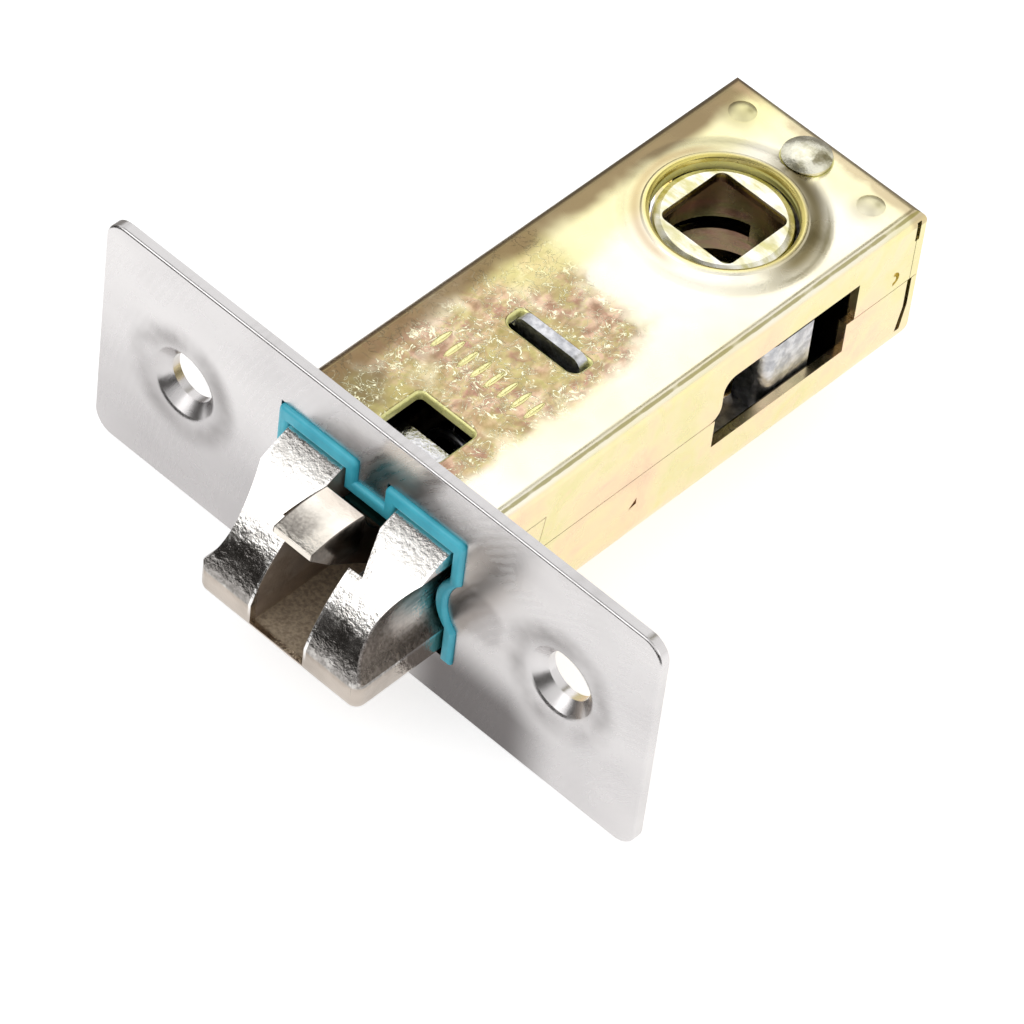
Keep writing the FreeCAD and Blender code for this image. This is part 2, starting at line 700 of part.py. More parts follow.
def make_bolt():
    """Cast bolt: bowed bevel in two horns, a mouth for the lever, side grooves and a boss for the stem."""
    body = new_body("latch_bolt")
    profile = new_sketch(body, "bolt_profile", "YZ_Plane")
    ridge = "nose_height - bolt_floor"
    rise = f"(bolt_top - ({ridge}))"
    chord = f"sqrt({rise}^2 + bolt_reach^2)"
    bow = (f"-bolt_reach/2 - bevel_bulge * {rise} / {chord}",
           f"(bolt_top + {ridge})/2 + bevel_bulge * bolt_reach / {chord}")
    draw_outline(profile, [("-bolt_reach", "-bolt_floor"), ("bolt_rear", "-bolt_floor"),
                           ("bolt_rear", "bolt_top"), ("0", "bolt_top"), ("-bolt_reach", ridge, *bow)])
    pad(body, "bolt_block", profile, "2 * bolt_half_width", middle=True)
    low, nose = -size("bolt_floor"), -size("bolt_reach")
    round_edges(body, "nose_edge", lambda edge: straight_along(edge, "x") and near(middle_of(edge).y, nose)
                and near(middle_of(edge).z, low), "nose_round")
    round_edges(body, "keel_edges", lambda edge: straight_along(edge, "y") and near(middle_of(edge).z, low),
                "keel_round")
    grooves = new_sketch(body, "side_grooves", "XZ_Plane")
    low_side, high_side = "groove_centre - groove_half_height", "groove_centre + groove_half_height"
    outside = "bolt_half_width + groove_depth"
    for side in ("-", ""):
        draw_outline(grooves, [(f"{side}({outside})", high_side), (f"{side}({outside})", low_side),
                               (f"{side}bolt_half_width", low_side),
                               (f"{side}bolt_half_width", high_side,
                                f"{side}(bolt_half_width - groove_depth)", "groove_centre")])
    pocket(body, "grooves", grooves, middle=True)
    mouth = new_sketch(body, "mouth_section", "YZ_Plane")
    draw_outline(mouth, box_corners("-2 * bolt_reach", "-mouth_floor", "mouth_back", "2 * bolt_top"))
    pocket(body, "mouth", mouth, "2 * mouth_half_width", middle=True)
    notch = new_sketch(body, "notch_plan", "XY_Plane", level="notch_floor")
    for side in ("-", ""):
        draw_outline(notch, [(f"{side}(mouth_half_width - notch_depth)", "-notch_back"),
                             (f"{side}(mouth_half_width - notch_depth)", "-notch_front"),
                             (f"{side}(mouth_half_width + notch_depth)", "-notch_front"),
                             (f"{side}mouth_half_width", "-notch_back")])
    pocket(body, "notches", notch, "2 * bolt_top", back=True)
    groove = new_sketch(body, "spring_ring", "XZ_Plane", level="spring_seat")
    draw_circle(groove, "0", "stem_height", "spring_pocket_radius")
    pocket(body, "spring_groove", groove, "bolt_rear")
    boss = new_sketch(body, "boss_round", "XZ_Plane", level="spring_seat")
    draw_circle(boss, "0", "stem_height", "boss_radius")
    pad(body, "boss", boss, "boss_end - spring_seat", back=True)
    bore = new_sketch(body, "stem_bore", "XZ_Plane", level="stem_seat")
    draw_circle(bore, "0", "stem_height", "stem_radius")
    pocket(body, "bore", bore, "boss_end")
    pivot = new_sketch(body, "pivot_hole", "YZ_Plane")
    draw_circle(pivot, "pivot_depth", "pivot_height", "pivot_radius")
    pocket(body, "pivot_way", pivot, middle=True)
    cross = new_sketch(body, "cross_hole", "XY_Plane", level="stem_height")
    draw_circle(cross, "0", "cross_pin_depth", "cross_pin_radius")
    pocket(body, "cross_way", cross, "4 * boss_radius", middle=True)
    return body


def make_stem():
    """Round stem that joins the bolt to the carriage, with a groove for its clip."""
    body = new_body("bolt_stem")
    section = new_sketch(body, "stem_section", "XY_Plane", level="stem_height")
    clip = "wall_front + carriage_sheet"
    draw_outline(section, [("0", "stem_seat"), ("stem_radius", "stem_seat"), ("stem_radius", clip),
                           ("clip_groove", clip), ("clip_groove", f"{clip} + clip_sheet"),
                           ("stem_radius", f"{clip} + clip_sheet"),
                           ("stem_radius", "stem_end - stem_end_chamfer"),
                           ("stem_radius - stem_end_chamfer", "stem_end"), ("0", "stem_end")])
    turn(body, "PartDesign::Revolution", "stem", section)
    cross = new_sketch(body, "cross_hole", "XY_Plane", level="stem_height")
    draw_circle(cross, "0", "cross_pin_depth", "cross_pin_radius")
    pocket(body, "cross_way", cross, middle=True)
    return body


def make_cross_pin():
    """Pin through the boss and the stem."""
    body = new_body("stem_pin")
    disc = new_sketch(body, "pin_round", "XY_Plane", level="stem_height")
    draw_circle(disc, "0", "cross_pin_depth", "cross_pin_radius")
    pad(body, "pin", disc, "2 * boss_radius - fit_gap", middle=True)
    return body


def make_lever_pin():
    """Pin across the bolt's mouth that the lever turns on."""
    body = new_body("lever_pin")
    disc = new_sketch(body, "pin_round", "YZ_Plane")
    draw_circle(disc, "pivot_depth", "pivot_height", "pivot_radius")
    pad(body, "pin", disc, "2 * pivot_half_length", middle=True)
    return body


def make_lever():
    """Cast lever: a wedge-shaped head above the bevel, a hub on the pin and a heel behind the plate's tab."""
    body = new_body("anti_friction_lever")
    profile = new_sketch(body, "lever_profile", "YZ_Plane")
    draw_outline(profile, [
        ("lever_tip - 0.1", "lever_top - lever_lip - 0.25"), ("lever_throat", "lever_belly"),
        ("pivot_depth - lever_hub", "pivot_height", "lever_throat * 0.55", "lever_belly * 0.3"),
        ("pivot_depth + lever_hub", "pivot_height", "pivot_depth", "pivot_height - lever_hub"),
        ("heel_back", "heel_top - lever_hub"), ("heel_back", "heel_top"), ("heel_front", "heel_top"),
        ("heel_front", "lever_saddle"), ("heel_front - lever_hub", "lever_saddle"),
        ("lever_shoulder", "lever_top + 0.1", "lever_shoulder * 0.72", "lever_saddle + 1.05"),
        ("lever_tip", "lever_top - 0.25", "(lever_shoulder + lever_tip)/2", "lever_top + 0.25")])
    pad(body, "lever_blank", profile, "2 * lever_half_width", middle=True)
    hole = new_sketch(body, "pin_hole", "YZ_Plane")
    draw_circle(hole, "pivot_depth", "pivot_height", "pivot_radius + pivot_gap")
    pocket(body, "pin_way", hole, middle=True)
    return body


def make_carriage():
    """Folded sheet fork: front wall on the stem, two rails beside the follower and a curled lip on each."""
    body = new_body("carriage")
    plan = new_sketch(body, "base_plan", "XY_Plane", level="-carriage_floor")
    draw_outline(plan, both_sides([("wall_half_width", "wall_front"), ("carriage_half_width", "fork_front"),
                                   ("carriage_half_width", "carriage_end"),
                                   ("fork_half_width", "carriage_end"), ("fork_half_width", "fork_front")]))
    pad(body, "base", plan, "carriage_sheet")
    wall = new_sketch(body, "wall_outline", "XZ_Plane", level="wall_front")
    draw_outline(wall, box_corners("-wall_half_width", "-carriage_floor", "wall_half_width", "wall_top"))
    pad(body, "wall", wall, "carriage_sheet", back=True)
    hole = new_sketch(body, "stem_hole", "XZ_Plane", level="wall_front")
    draw_circle(hole, "0", "stem_height", "stem_radius + pivot_gap")
    pocket(body, "stem_way", hole, middle=True)
    lips = new_sketch(body, "lip_plan", "XY_Plane", level="-carriage_floor")
    outer, inner = "carriage_half_width", "(carriage_half_width - carriage_sheet)"
    bend = "lip_bend * 0.2929"
    tight = "(lip_bend - carriage_sheet) * 0.2929"
    for side in ("-", ""):
        draw_outline(lips, [
            (f"{side}lip_inner", "lip_face"), (f"{side}({outer} - lip_bend)", "lip_face"),
            (f"{side}{outer}", "lip_face + lip_bend", f"{side}({outer} - {bend})", f"lip_face + {bend}"),
            (f"{side}{outer}", "carriage_end"), (f"{side}{inner}", "carriage_end"),
            (f"{side}{inner}", "lip_face + lip_bend"),
            (f"{side}({outer} - lip_bend)", "lip_face + carriage_sheet", f"{side}({inner} - {tight})",
             f"lip_face + carriage_sheet + {tight}"),
            (f"{side}lip_inner", "lip_face + carriage_sheet")])
    pad(body, "lips", lips, "carriage_floor + ear_top")
    return body


def make_washer():
    """Plastic washer on the stem, which meets the bulkhead when the bolt is out."""
    body = new_body("stop_washer")
    front = "bulkhead_back + collar_gap"
    ring = new_sketch(body, "washer_ring", "XZ_Plane", level=front)
    draw_circle(ring, "0", "stem_height", "washer_radius")
    draw_circle(ring, "0", "stem_height", "stem_radius + pivot_gap")
    pad(body, "washer", ring, f"wall_front - ({front})", back=True)
    return body


def make_clip():
    """Open ring in the stem's groove, behind the carriage's wall."""
    body = new_body("stem_clip")
    level = "wall_front + carriage_sheet"
    ring = new_sketch(body, "clip_ring", "XZ_Plane", level=level)
    draw_circle(ring, "0", "stem_height", "clip_radius")
    draw_circle(ring, "0", "stem_height", "clip_groove")
    pad(body, "clip", ring, "clip_sheet", back=True)
    mouth = new_sketch(body, "clip_mouth", "XZ_Plane", level=level)
    draw_outline(mouth, box_corners("-clip_mouth", "stem_height",
                                    "clip_mouth", "stem_height + 2 * clip_radius"))
    pocket(body, "mouth", mouth, "clip_sheet")
    return body


def make_spring():
    """Wire spring between the bolt and the bulkhead; six flats round the wire keep the coil light."""
    body = new_body("bolt_spring")
    wire = new_sketch(body, "wire_section", "XY_Plane", level="stem_height")
    draw_outline(wire, [(f"spring_radius + spring_wire * cos({angle} * 1 deg)",
                         f"spring_seat + spring_wire * (1 + sin({angle} * 1 deg))")
                        for angle in range(30, 390, 60)])
    coil = body.newObject("PartDesign::AdditiveHelix", "coil")
    coil.Profile = wire
    coil.ReferenceAxis = (wire, ["V_Axis"])
    coil.Mode = "height-turns-angle"
    coil.setExpression("Height", formula(f"{BULKHEAD_FRONT} - spring_seat - 2 * spring_wire"))
    coil.setExpression("Turns", formula("spring_turns"))
    doc.recompute()
    return body


def make_cup(name, up):
    """Drawn cup of the follower, with the spindle's square hole in its end and two lugs on its rim."""
    body = new_body(name)
    sign = "" if up else "-"
    section = new_sketch(body, "cup_section", "XZ_Plane", level="backset")
    inner = "cup_radius - cup_wall"
    draw_outline(section, [
        ("cup_radius", f"{sign}cup_rim"), ("cup_radius", f"{sign}(cup_top - cup_round)"),
        ("cup_radius - cup_round * 0.2929", f"{sign}(cup_top - cup_round * 0.2929)"),
        ("cup_radius - cup_round", f"{sign}cup_top"),
        ("0", f"{sign}cup_top"), ("0", f"{sign}(cup_top - cup_end_sheet)"),
        (inner, f"{sign}(cup_top - cup_end_sheet)"), (inner, f"{sign}cup_rim")])
    turn(body, "PartDesign::Revolution", "cup", section)
    lugs = new_sketch(body, "lug_plan", "XY_Plane", level=f"{sign}cup_rim")
    lug_corners(lugs, "cup_radius", inner, "0")
    pad(body, "lugs", lugs, "cup_rim - cam_half_thickness + lug_length", back=up)
    square_way(body, f"{sign}cup_top")
    return body


def square_way(body, level):
    """Cut the spindle's square hole, with round corners."""
    square = new_sketch(body, "square_hole", "XY_Plane", level=level)
    half, inset = "spindle_square/2", "(spindle_square/2 - square_corner)"
    bend = "(spindle_square/2 - square_corner * 0.2929)"
    corners = []
    for x, y in (("", "+"), ("-", "+"), ("-", "-"), ("", "-")):
        ends = [(half, inset), (inset, half)]
        if (x == "-") == (y == "+"):
            ends.reverse()
        corners += [(f"{x}{ends[0][0]}", f"backset {y} {ends[0][1]}"),
                    (f"{x}{ends[1][0]}", f"backset {y} {ends[1][1]}", f"{x}{bend}", f"backset {y} {bend}")]
    draw_outline(square, corners)
    pocket(body, "square", square, middle=True)


def lug_corners(sketch, outer, inner, gap):
    """Draw the lugs in front of and behind the hub, between two radii."""
    wide = f"(lug_half_width + {gap})"
    for side in ("-", "+"):
        far = f"backset {side} sqrt(({outer})^2 - {wide}^2)"
        near_side = f"backset {side} sqrt(({inner})^2 - {wide}^2)"
        draw_outline(sketch, [(f"-{wide}", near_side), (wide, near_side, "0", f"backset {side} ({inner})"),
                              (wide, far), (f"-{wide}", far, "0", f"backset {side} ({outer})")])


def make_cam():
    """Cam ring of the follower, between its cups, with two arms that push the carriage's lips."""
    body = new_body("follower_cam")
    disc = new_sketch(body, "cam_disc", "XY_Plane")
    draw_circle(disc, "0", "backset", "cam_radius")
    pad(body, "disc", disc, "2 * cam_half_thickness", middle=True)
    arms = new_sketch(body, "arm_plan", "XY_Plane")
    along, aside = "cos(arm_rest_angle * 1 deg)", "sin(arm_rest_angle * 1 deg)"

    def spot(side, out, across):
        return (f"{side}(({out}) * {along} + ({across}) * {aside})",
                f"backset - ({out}) * {aside} + ({across}) * {along}")
    for side in ("-", ""):
        draw_outline(arms, [spot(side, "cam_radius/2", "-arm_root"), spot(side, "arm_reach", "-arm_tip"),
                            (*spot(side, "arm_reach", "arm_tip"), *spot(side, "arm_reach + arm_tip", "0")),
                            spot(side, "cam_radius/2", "arm_root")])
    pad(body, "arms", arms, "2 * cam_half_thickness", middle=True)
    bore = new_sketch(body, "cam_bore", "XY_Plane")
    draw_circle(bore, "0", "backset", "cup_radius - cup_wall")
    pocket(body, "bore", bore, middle=True)
    for name, level, back in (("upper", "cam_half_thickness", False), ("lower", "-cam_half_thickness", True)):
        seats = new_sketch(body, f"{name}_lug_seats", "XY_Plane", level=level)
        lug_corners(seats, "cam_radius + collar_gap", "cup_radius - cup_wall - lug_gap", "lug_gap")
        pocket(body, f"{name}_seats", seats, "lug_length + lug_gap", back=back)
    return body


def check_and_write():
    """Check every object and each finished piece, then write one STEP file for each."""
    doc.recompute()
    failed = [item.Name for item in doc.Objects if {"Invalid", "Error"} & set(item.State)]
    if failed:
        raise ValueError("failed objects: " + ", ".join(failed))
    os.makedirs("parts", exist_ok=True)
    bodies = [item for item in doc.Objects if item.TypeId == "PartDesign::Body"]
    for body in bodies:
        shape = body.Shape
        if shape.isNull() or not shape.isValid() or len(shape.Solids) != 1:
            raise ValueError(f"{body.Label} is not one sound solid")
        shape.exportStep(f"parts/{body.Label}.step")
        box = shape.BoundBox
        print(f"{body.Label:20s} {shape.Volume:9.2f} mm3  x {box.XMin:7.2f} {box.XMax:7.2f}"
              f"  y {box.YMin:7.2f} {box.YMax:7.2f}  z {box.ZMin:7.2f} {box.ZMax:7.2f}")


make_face_plate()
make_collar()
make_case_upper()
make_case_lower()
make_bulkhead()
make_rear_rivet()
make_rear_spacer()
make_spring()
make_bolt()
make_stem()
make_cross_pin()
make_lever_pin()
make_lever()
make_carriage()
make_washer()
make_clip()
make_cup("follower_upper_cup", True)
make_cam()
make_cup("follower_lower_cup", False)
check_and_write()
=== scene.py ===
# %% [markdown]
# # A door latch in yellow zinc, nickel and stainless steel
# The solids come from the CAD frame, so every size is already right. This notebook gives them the
# finishes of the real latch, adds the small things that CAD leaves out, and lights them like a
# studio photograph. The frame is in metres: the middle of the plate's front is the origin, +Y goes
# into the door, and +Z points along the spindle. A latch is small, so the helpers take millimetres.

import json
import math

import bmesh
import bpy
from mathutils import Matrix, Vector


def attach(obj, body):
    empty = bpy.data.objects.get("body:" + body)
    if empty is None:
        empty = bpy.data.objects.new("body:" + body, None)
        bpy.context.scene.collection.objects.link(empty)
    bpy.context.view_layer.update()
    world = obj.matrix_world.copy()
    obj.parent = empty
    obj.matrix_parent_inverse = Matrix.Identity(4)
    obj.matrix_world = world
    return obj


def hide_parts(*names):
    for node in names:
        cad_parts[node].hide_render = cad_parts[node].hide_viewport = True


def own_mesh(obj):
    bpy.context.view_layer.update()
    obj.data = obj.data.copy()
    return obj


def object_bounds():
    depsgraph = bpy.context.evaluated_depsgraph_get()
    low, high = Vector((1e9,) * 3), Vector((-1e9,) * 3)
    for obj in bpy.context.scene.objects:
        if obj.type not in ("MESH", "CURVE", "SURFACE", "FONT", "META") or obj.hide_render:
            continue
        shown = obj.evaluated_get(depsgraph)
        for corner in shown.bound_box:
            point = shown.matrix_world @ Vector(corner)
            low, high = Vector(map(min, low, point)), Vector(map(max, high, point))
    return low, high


MM = 0.001
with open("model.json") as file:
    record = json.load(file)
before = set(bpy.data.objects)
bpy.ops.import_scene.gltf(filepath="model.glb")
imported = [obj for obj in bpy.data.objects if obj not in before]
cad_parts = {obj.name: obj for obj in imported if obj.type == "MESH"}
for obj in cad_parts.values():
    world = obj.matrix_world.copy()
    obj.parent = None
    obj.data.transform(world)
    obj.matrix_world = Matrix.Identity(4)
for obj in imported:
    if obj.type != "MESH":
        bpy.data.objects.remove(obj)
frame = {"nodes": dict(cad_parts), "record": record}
nodes = frame["nodes"]
cad_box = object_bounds()
scene = bpy.context.scene
scene.view_settings.view_transform = "Standard"
print("frame loaded:", len(nodes), "nodes")

# %% [markdown]
# ## Small helpers for node trees
# A material is a graph. These helpers keep the graphs readable: one adds a node and sets its sockets
# by name, one opens a group with named inputs and outputs, and a few write the sums that come back
# again and again. A helper's input may be a value or another node's socket.

# %% Node helpers
def mm(*values):
    """Turn millimetres into metres."""
    return tuple(value * MM for value in values)


def socket(node, name):
    """Find an input by its title, with capitals left out and spaces written as underscores."""
    return next(item for item in node.inputs if item.name.lower().replace(" ", "_") == name)


def feed(tree, target, source):
    """Link a socket to its source, or give it a plain value."""
    if isinstance(source, bpy.types.NodeSocket):
        tree.links.new(source, target)
    else:
        target.default_value = source


def add_node(tree, kind, **values):
    """Add a node; a value is one of its settings, or else goes to the socket with that title."""
    node = tree.nodes.new(kind)
    for name, value in values.items():
        if hasattr(node, name):
            setattr(node, name, value)
        else:
            feed(tree, socket(node, name), value)
    return node


print("node helpers ready")

# %% Group helpers
def new_group(name, inputs, output, kind="NodeSocketFloat"):
    """Start a shader group; inputs give a default for each."""
    tree = bpy.data.node_groups.new(name, "ShaderNodeTree")
    for title, value in inputs.items():
        given_kind = "NodeSocketVector" if isinstance(value, tuple) else "NodeSocketFloat"
        tree.interface.new_socket(title, in_out="INPUT", socket_type=given_kind).default_value = value
    tree.interface.new_socket(output, in_out="OUTPUT", socket_type=kind)
    given = tree.nodes.new("NodeGroupInput").outputs
    return tree, given, tree.nodes.new("NodeGroupOutput").inputs[0]


def place_group(tree, group, **values):
    """Put a group in a material, feed its inputs by title and give its output."""
    node = tree.nodes.new("ShaderNodeGroup")
    node.node_tree = group
    for name, value in values.items():
        feed(tree, socket(node, name), value)
    return node.outputs[0]


print("group helpers ready")

# %% Sums
def calc(tree, operation, first, second=0.0, third=None):
    """Do a sum on numbers that change over the surface."""
    node = add_node(tree, "ShaderNodeMath", operation=operation)
    feed(tree, node.inputs[0], first)
    feed(tree, node.inputs[1], second)
    if third is not None:
        feed(tree, node.inputs[2], third)
    return node.outputs[0]


def vector_calc(tree, operation, first, second=(0.0, 0.0, 0.0)):
    """Do a sum on vectors."""
    node = add_node(tree, "ShaderNodeVectorMath", operation=operation)
    feed(tree, node.inputs[0], first)
    feed(tree, node.inputs[1], second)
    return node.outputs[0]


def remap(tree, value, low, high, to_low=0.0, to_high=1.0):
    """Spread a value between two limits to a new range, with soft ends."""
    node = add_node(tree, "ShaderNodeMapRange", interpolation_type="SMOOTHSTEP")
    sources = {"Value": value, "From Min": low, "From Max": high, "To Min": to_low, "To Max": to_high}
    for title, source in sources.items():
        feed(tree, node.inputs[title], source)
    return node.outputs["Result"]


def object_place(tree):
    """Read the Object coordinates, which stay with the piece when it moves."""
    return add_node(tree, "ShaderNodeTexCoord").outputs["Object"]


print("sums ready")

# %% [markdown]
# ## Effect: soft patches
# No metal part is one flat colour. Large, soft patches of a slightly different tone come from
# handling, plating and reflections in a surface that isn't quite flat. Low-frequency noise, spread
# between two limits, can drive colour or roughness. Softness widens the step between the two, and
# Shift reads the noise somewhere else, so that two effects don't follow each other.

# %% Soft patches group
NO_SHIFT = (0.0, 0.0, 0.0)
NO_STRETCH = (1.0, 1.0, 1.0)


def make_patches():
    inputs = {"Size": 10 * MM, "Low": 0.0, "High": 1.0, "Softness": 0.3,
              "Shift": NO_SHIFT, "Stretch": NO_STRETCH}
    tree, given, out = new_group("soft_patches", inputs, "Value")
    shifted = vector_calc(tree, "ADD", object_place(tree), given["Shift"])
    place = vector_calc(tree, "MULTIPLY", shifted, given["Stretch"])
    noise = add_node(tree, "ShaderNodeTexNoise", detail=3.0, roughness=0.55, vector=place,
                     scale=calc(tree, "DIVIDE", 1.0, given["Size"]))
    spread = calc(tree, "MULTIPLY", given["Softness"], 0.5)
    low, high = calc(tree, "SUBTRACT", 0.5, spread), calc(tree, "ADD", 0.5, spread)
    tree.links.new(remap(tree, noise.outputs["Fac"], low, high, given["Low"], given["High"]), out)
    return tree


PATCHES = make_patches()


def patches(tree, size, softness, **values):
    """Place soft patches; their size is in millimetres, and low and high give their range."""
    return place_group(tree, PATCHES, size=size * MM, softness=softness, **values)


print("group:", PATCHES.name)

# %% [markdown]
# ## Effect: grain
# Plated castings aren't smooth. Up close the nickel is covered in fine dimples, which break every
# reflection into white and dark specks. Two sizes of noise added together make that skin. The group
# gives a height in metres, and each material adds up its heights for one Bump node.

# %% Grain group
BROAD_SHARE = 0.35


def make_grain():
    tree, given, out = new_group("grain", {"Size": 0.0004, "Depth": 0.00002, "Stretch": NO_STRETCH}, "Height")
    place = vector_calc(tree, "MULTIPLY", object_place(tree), given["Stretch"])
    scale = calc(tree, "DIVIDE", 1.0, given["Size"])
    fine = add_node(tree, "ShaderNodeTexNoise", detail=3.0, roughness=0.6, vector=place, scale=scale)
    broad = add_node(tree, "ShaderNodeTexNoise", detail=1.0, vector=place,
                     scale=calc(tree, "MULTIPLY", scale, BROAD_SHARE))
    total = calc(tree, "ADD", fine.outputs["Fac"], broad.outputs["Fac"])
    tree.links.new(calc(tree, "MULTIPLY", total, given["Depth"]), out)
    return tree


GRAIN = make_grain()


def grain(tree, size, depth, stretch=NO_STRETCH):
    """Place a grain; its size and depth are in millimetres."""
    return place_group(tree, GRAIN, size=size * MM, depth=depth * MM, stretch=stretch)


print("group:", GRAIN.name)

# %% [markdown]
# ## Effect: crinkles
# Thick yellow passivation dries with fine wrinkles, like foil that was pressed flat again. Where a
# bent noise crosses its middle value it draws one thin winding line, which is what a wrinkle is. A
# second noise rubs out half of each line, so that they start and stop.

# %% Crinkles group
LINE_WIDTH = 0.022
RUB_SHIFT = (0.3, 0.2, 0.1)
RUB_SHARE = 0.9


def make_crinkles():
    tree, given, out = new_group("crinkles", {"Size": 0.001, "Bend": 0.5, "Shift": NO_SHIFT}, "Ridge")
    place = vector_calc(tree, "ADD", object_place(tree), given["Shift"])
    scale = calc(tree, "DIVIDE", 1.0, given["Size"])
    waves = add_node(tree, "ShaderNodeTexNoise", detail=2.0, roughness=0.6, distortion=given["Bend"],
                     vector=place, scale=scale)
    off_middle = calc(tree, "ABSOLUTE", calc(tree, "SUBTRACT", waves.outputs["Fac"], 0.5))
    line = remap(tree, off_middle, 0.0, LINE_WIDTH, 1.0, 0.0)
    elsewhere = vector_calc(tree, "ADD", place, RUB_SHIFT)
    rubbed = add_node(tree, "ShaderNodeTexNoise", detail=1.0, vector=elsewhere,
                      scale=calc(tree, "MULTIPLY", scale, RUB_SHARE))
    left_over = remap(tree, rubbed.outputs["Fac"], 0.4, 0.55)
    tree.links.new(calc(tree, "MULTIPLY", line, left_over), out)
    return tree


CRINKLES = make_crinkles()
print("group:", CRINKLES.name)

# %% [markdown]
# ## Effect: passivation tints
# Yellow zinc gets its colour from a clear film so thin that light waves interfere in it. Where the
# film grows thicker the tint runs from straw through pink to green and back. A colour ramp holds that
# run of tints, and slow noise picks the place in it.

# %% Colours as seen
def srgb(red, green, blue):
    """Turn a colour as seen, 0 to 255, into the linear one that a shader wants."""
    def linear(value):
        value /= 255
        return value / 12.92 if value <= 0.04045 else ((value + 0.055) / 1.055) ** 2.4
    return (linear(red), linear(green), linear(blue), 1.0)


print("mid grey is", round(srgb(128, 128, 128)[0], 3), "in linear light")

# %% Tints groups
def make_tints(name, stops):
    """Make a group that picks a tint from (place, colour) stops by slow noise."""
    tree, given, out = new_group(name, {"Size": 0.004, "Shift": NO_SHIFT}, "Color", "NodeSocketColor")
    place = vector_calc(tree, "ADD", object_place(tree), given["Shift"])
    film = add_node(tree, "ShaderNodeTexNoise", detail=4.0, roughness=0.62, distortion=0.4, vector=place,
                    scale=calc(tree, "DIVIDE", 1.0, given["Size"]))
    ramp = add_node(tree, "ShaderNodeValToRGB")
    marks = ramp.color_ramp.elements
    for position, colour in stops[1:-1]:
        marks.new(position).color = colour
    for mark, (position, colour) in ((marks[0], stops[0]), (marks[-1], stops[-1])):
        mark.position = position
        mark.color = colour
    tree.links.new(film.outputs["Fac"], ramp.inputs["Fac"])
    tree.links.new(ramp.outputs["Color"], out)
    return tree


STRONG_TINTS = make_tints("strong_tints", [
    (0.28, srgb(140, 112, 88)), (0.40, srgb(196, 158, 134)), (0.48, srgb(220, 188, 160)),
    (0.55, srgb(206, 190, 140)), (0.64, srgb(190, 146, 128)), (0.76, srgb(228, 214, 172))])
PALE_TINTS = make_tints("pale_tints", [
    (0.30, srgb(240, 206, 176)), (0.42, srgb(246, 222, 182)), (0.50, srgb(242, 228, 180)),
    (0.56, srgb(236, 226, 168)), (0.64, srgb(246, 224, 184)), (0.74, srgb(240, 206, 182))])
print("groups:", STRONG_TINTS.name, PALE_TINTS.name)

# %% [markdown]
# ## Effect: where on the piece
# Wear, dirt, film and the painted light and shade follow the shape: an edge, a corner, a ring round a
# hole. Two masks say where a point lies. A zone is a box between two corners with a soft border, and a
# halo is a soft ring round an axis. Their Fold input mirrors an axis, so that one mask can serve
# both sides.

# %% Zone group
ONE_SIDE = (0.0, 0.0, 0.0)
BOTH_SIDES = (1.0, 0.0, 0.0)


def folded_place(tree, fold):
    """Read the Object coordinates, mirrored on the axes where fold is 1."""
    place = object_place(tree)
    mirrored = vector_calc(tree, "SUBTRACT", vector_calc(tree, "ABSOLUTE", place), place)
    return vector_calc(tree, "ADD", place, vector_calc(tree, "MULTIPLY", mirrored, fold))


def make_zone():
    inputs = {"Low": mm(-1, -1, -1), "High": mm(1, 1, 1), "Feather": mm(0.1, 0.1, 0.1), "Fold": ONE_SIDE}
    tree, given, out = new_group("zone", inputs, "Mask")
    place = folded_place(tree, given["Fold"])
    sides = []
    for first, second in ((place, given["Low"]), (given["High"], place)):
        inside = vector_calc(tree, "DIVIDE", vector_calc(tree, "SUBTRACT", first, second), given["Feather"])
        capped = vector_calc(tree, "MINIMUM", inside, (1.0, 1.0, 1.0))
        sides.append(vector_calc(tree, "MAXIMUM", capped))
    parts = add_node(tree, "ShaderNodeSeparateXYZ", vector=vector_calc(tree, "MULTIPLY", *sides)).outputs
    product = calc(tree, "MULTIPLY", calc(tree, "MULTIPLY", parts[0], parts[1]), parts[2])
    tree.links.new(remap(tree, product, 0.0, 1.0), out)
    return tree


ZONE = make_zone()


def zone(tree, low, high, feather, fold=ONE_SIDE):
    """Mask a box between two corners in millimetres; the feather is one width or three."""
    widths = feather if isinstance(feather, tuple) else (feather, feather, feather)
    return place_group(tree, ZONE, low=mm(*low), high=mm(*high), feather=mm(*widths), fold=fold)


print("group:", ZONE.name)

# %% Halo group
ROUND_Z = (1.0, 1.0, 0.0)
ROUND_Y = (1.0, 0.0, 1.0)
ROUND_X = (0.0, 1.0, 1.0)


def make_halo():
    inputs = {"Centre": mm(0, 0, 0), "Across": ROUND_Z, "Radius": 5 * MM, "Width": MM, "Fold": ONE_SIDE}
    tree, given, out = new_group("halo", inputs, "Mask")
    offset = vector_calc(tree, "SUBTRACT", folded_place(tree, given["Fold"]), given["Centre"])
    reach = add_node(tree, "ShaderNodeVectorMath", operation="LENGTH")
    tree.links.new(vector_calc(tree, "MULTIPLY", offset, given["Across"]), reach.inputs[0])
    away = calc(tree, "ABSOLUTE", calc(tree, "SUBTRACT", reach.outputs["Value"], given["Radius"]))
    tree.links.new(remap(tree, away, 0.0, given["Width"], 1.0, 0.0), out)
    return tree


HALO = make_halo()


def halo(tree, centre, radius, width, across=ROUND_Z, fold=ONE_SIDE):
    """Mask a soft ring round an axis, in millimetres."""
    return place_group(tree, HALO, centre=mm(*centre), across=across, radius=radius * MM, width=width * MM,
                       fold=fold)


print("group:", HALO.name)

# %% [markdown]
# ## From masks to a finish
# A painter lays one glaze over the last. These functions do the same with a mask, a strength and a
# colour, and they add up heights for the Bump node. A mask's border is broken up with noise, because
# nothing on a plated part ends in a ruled line.

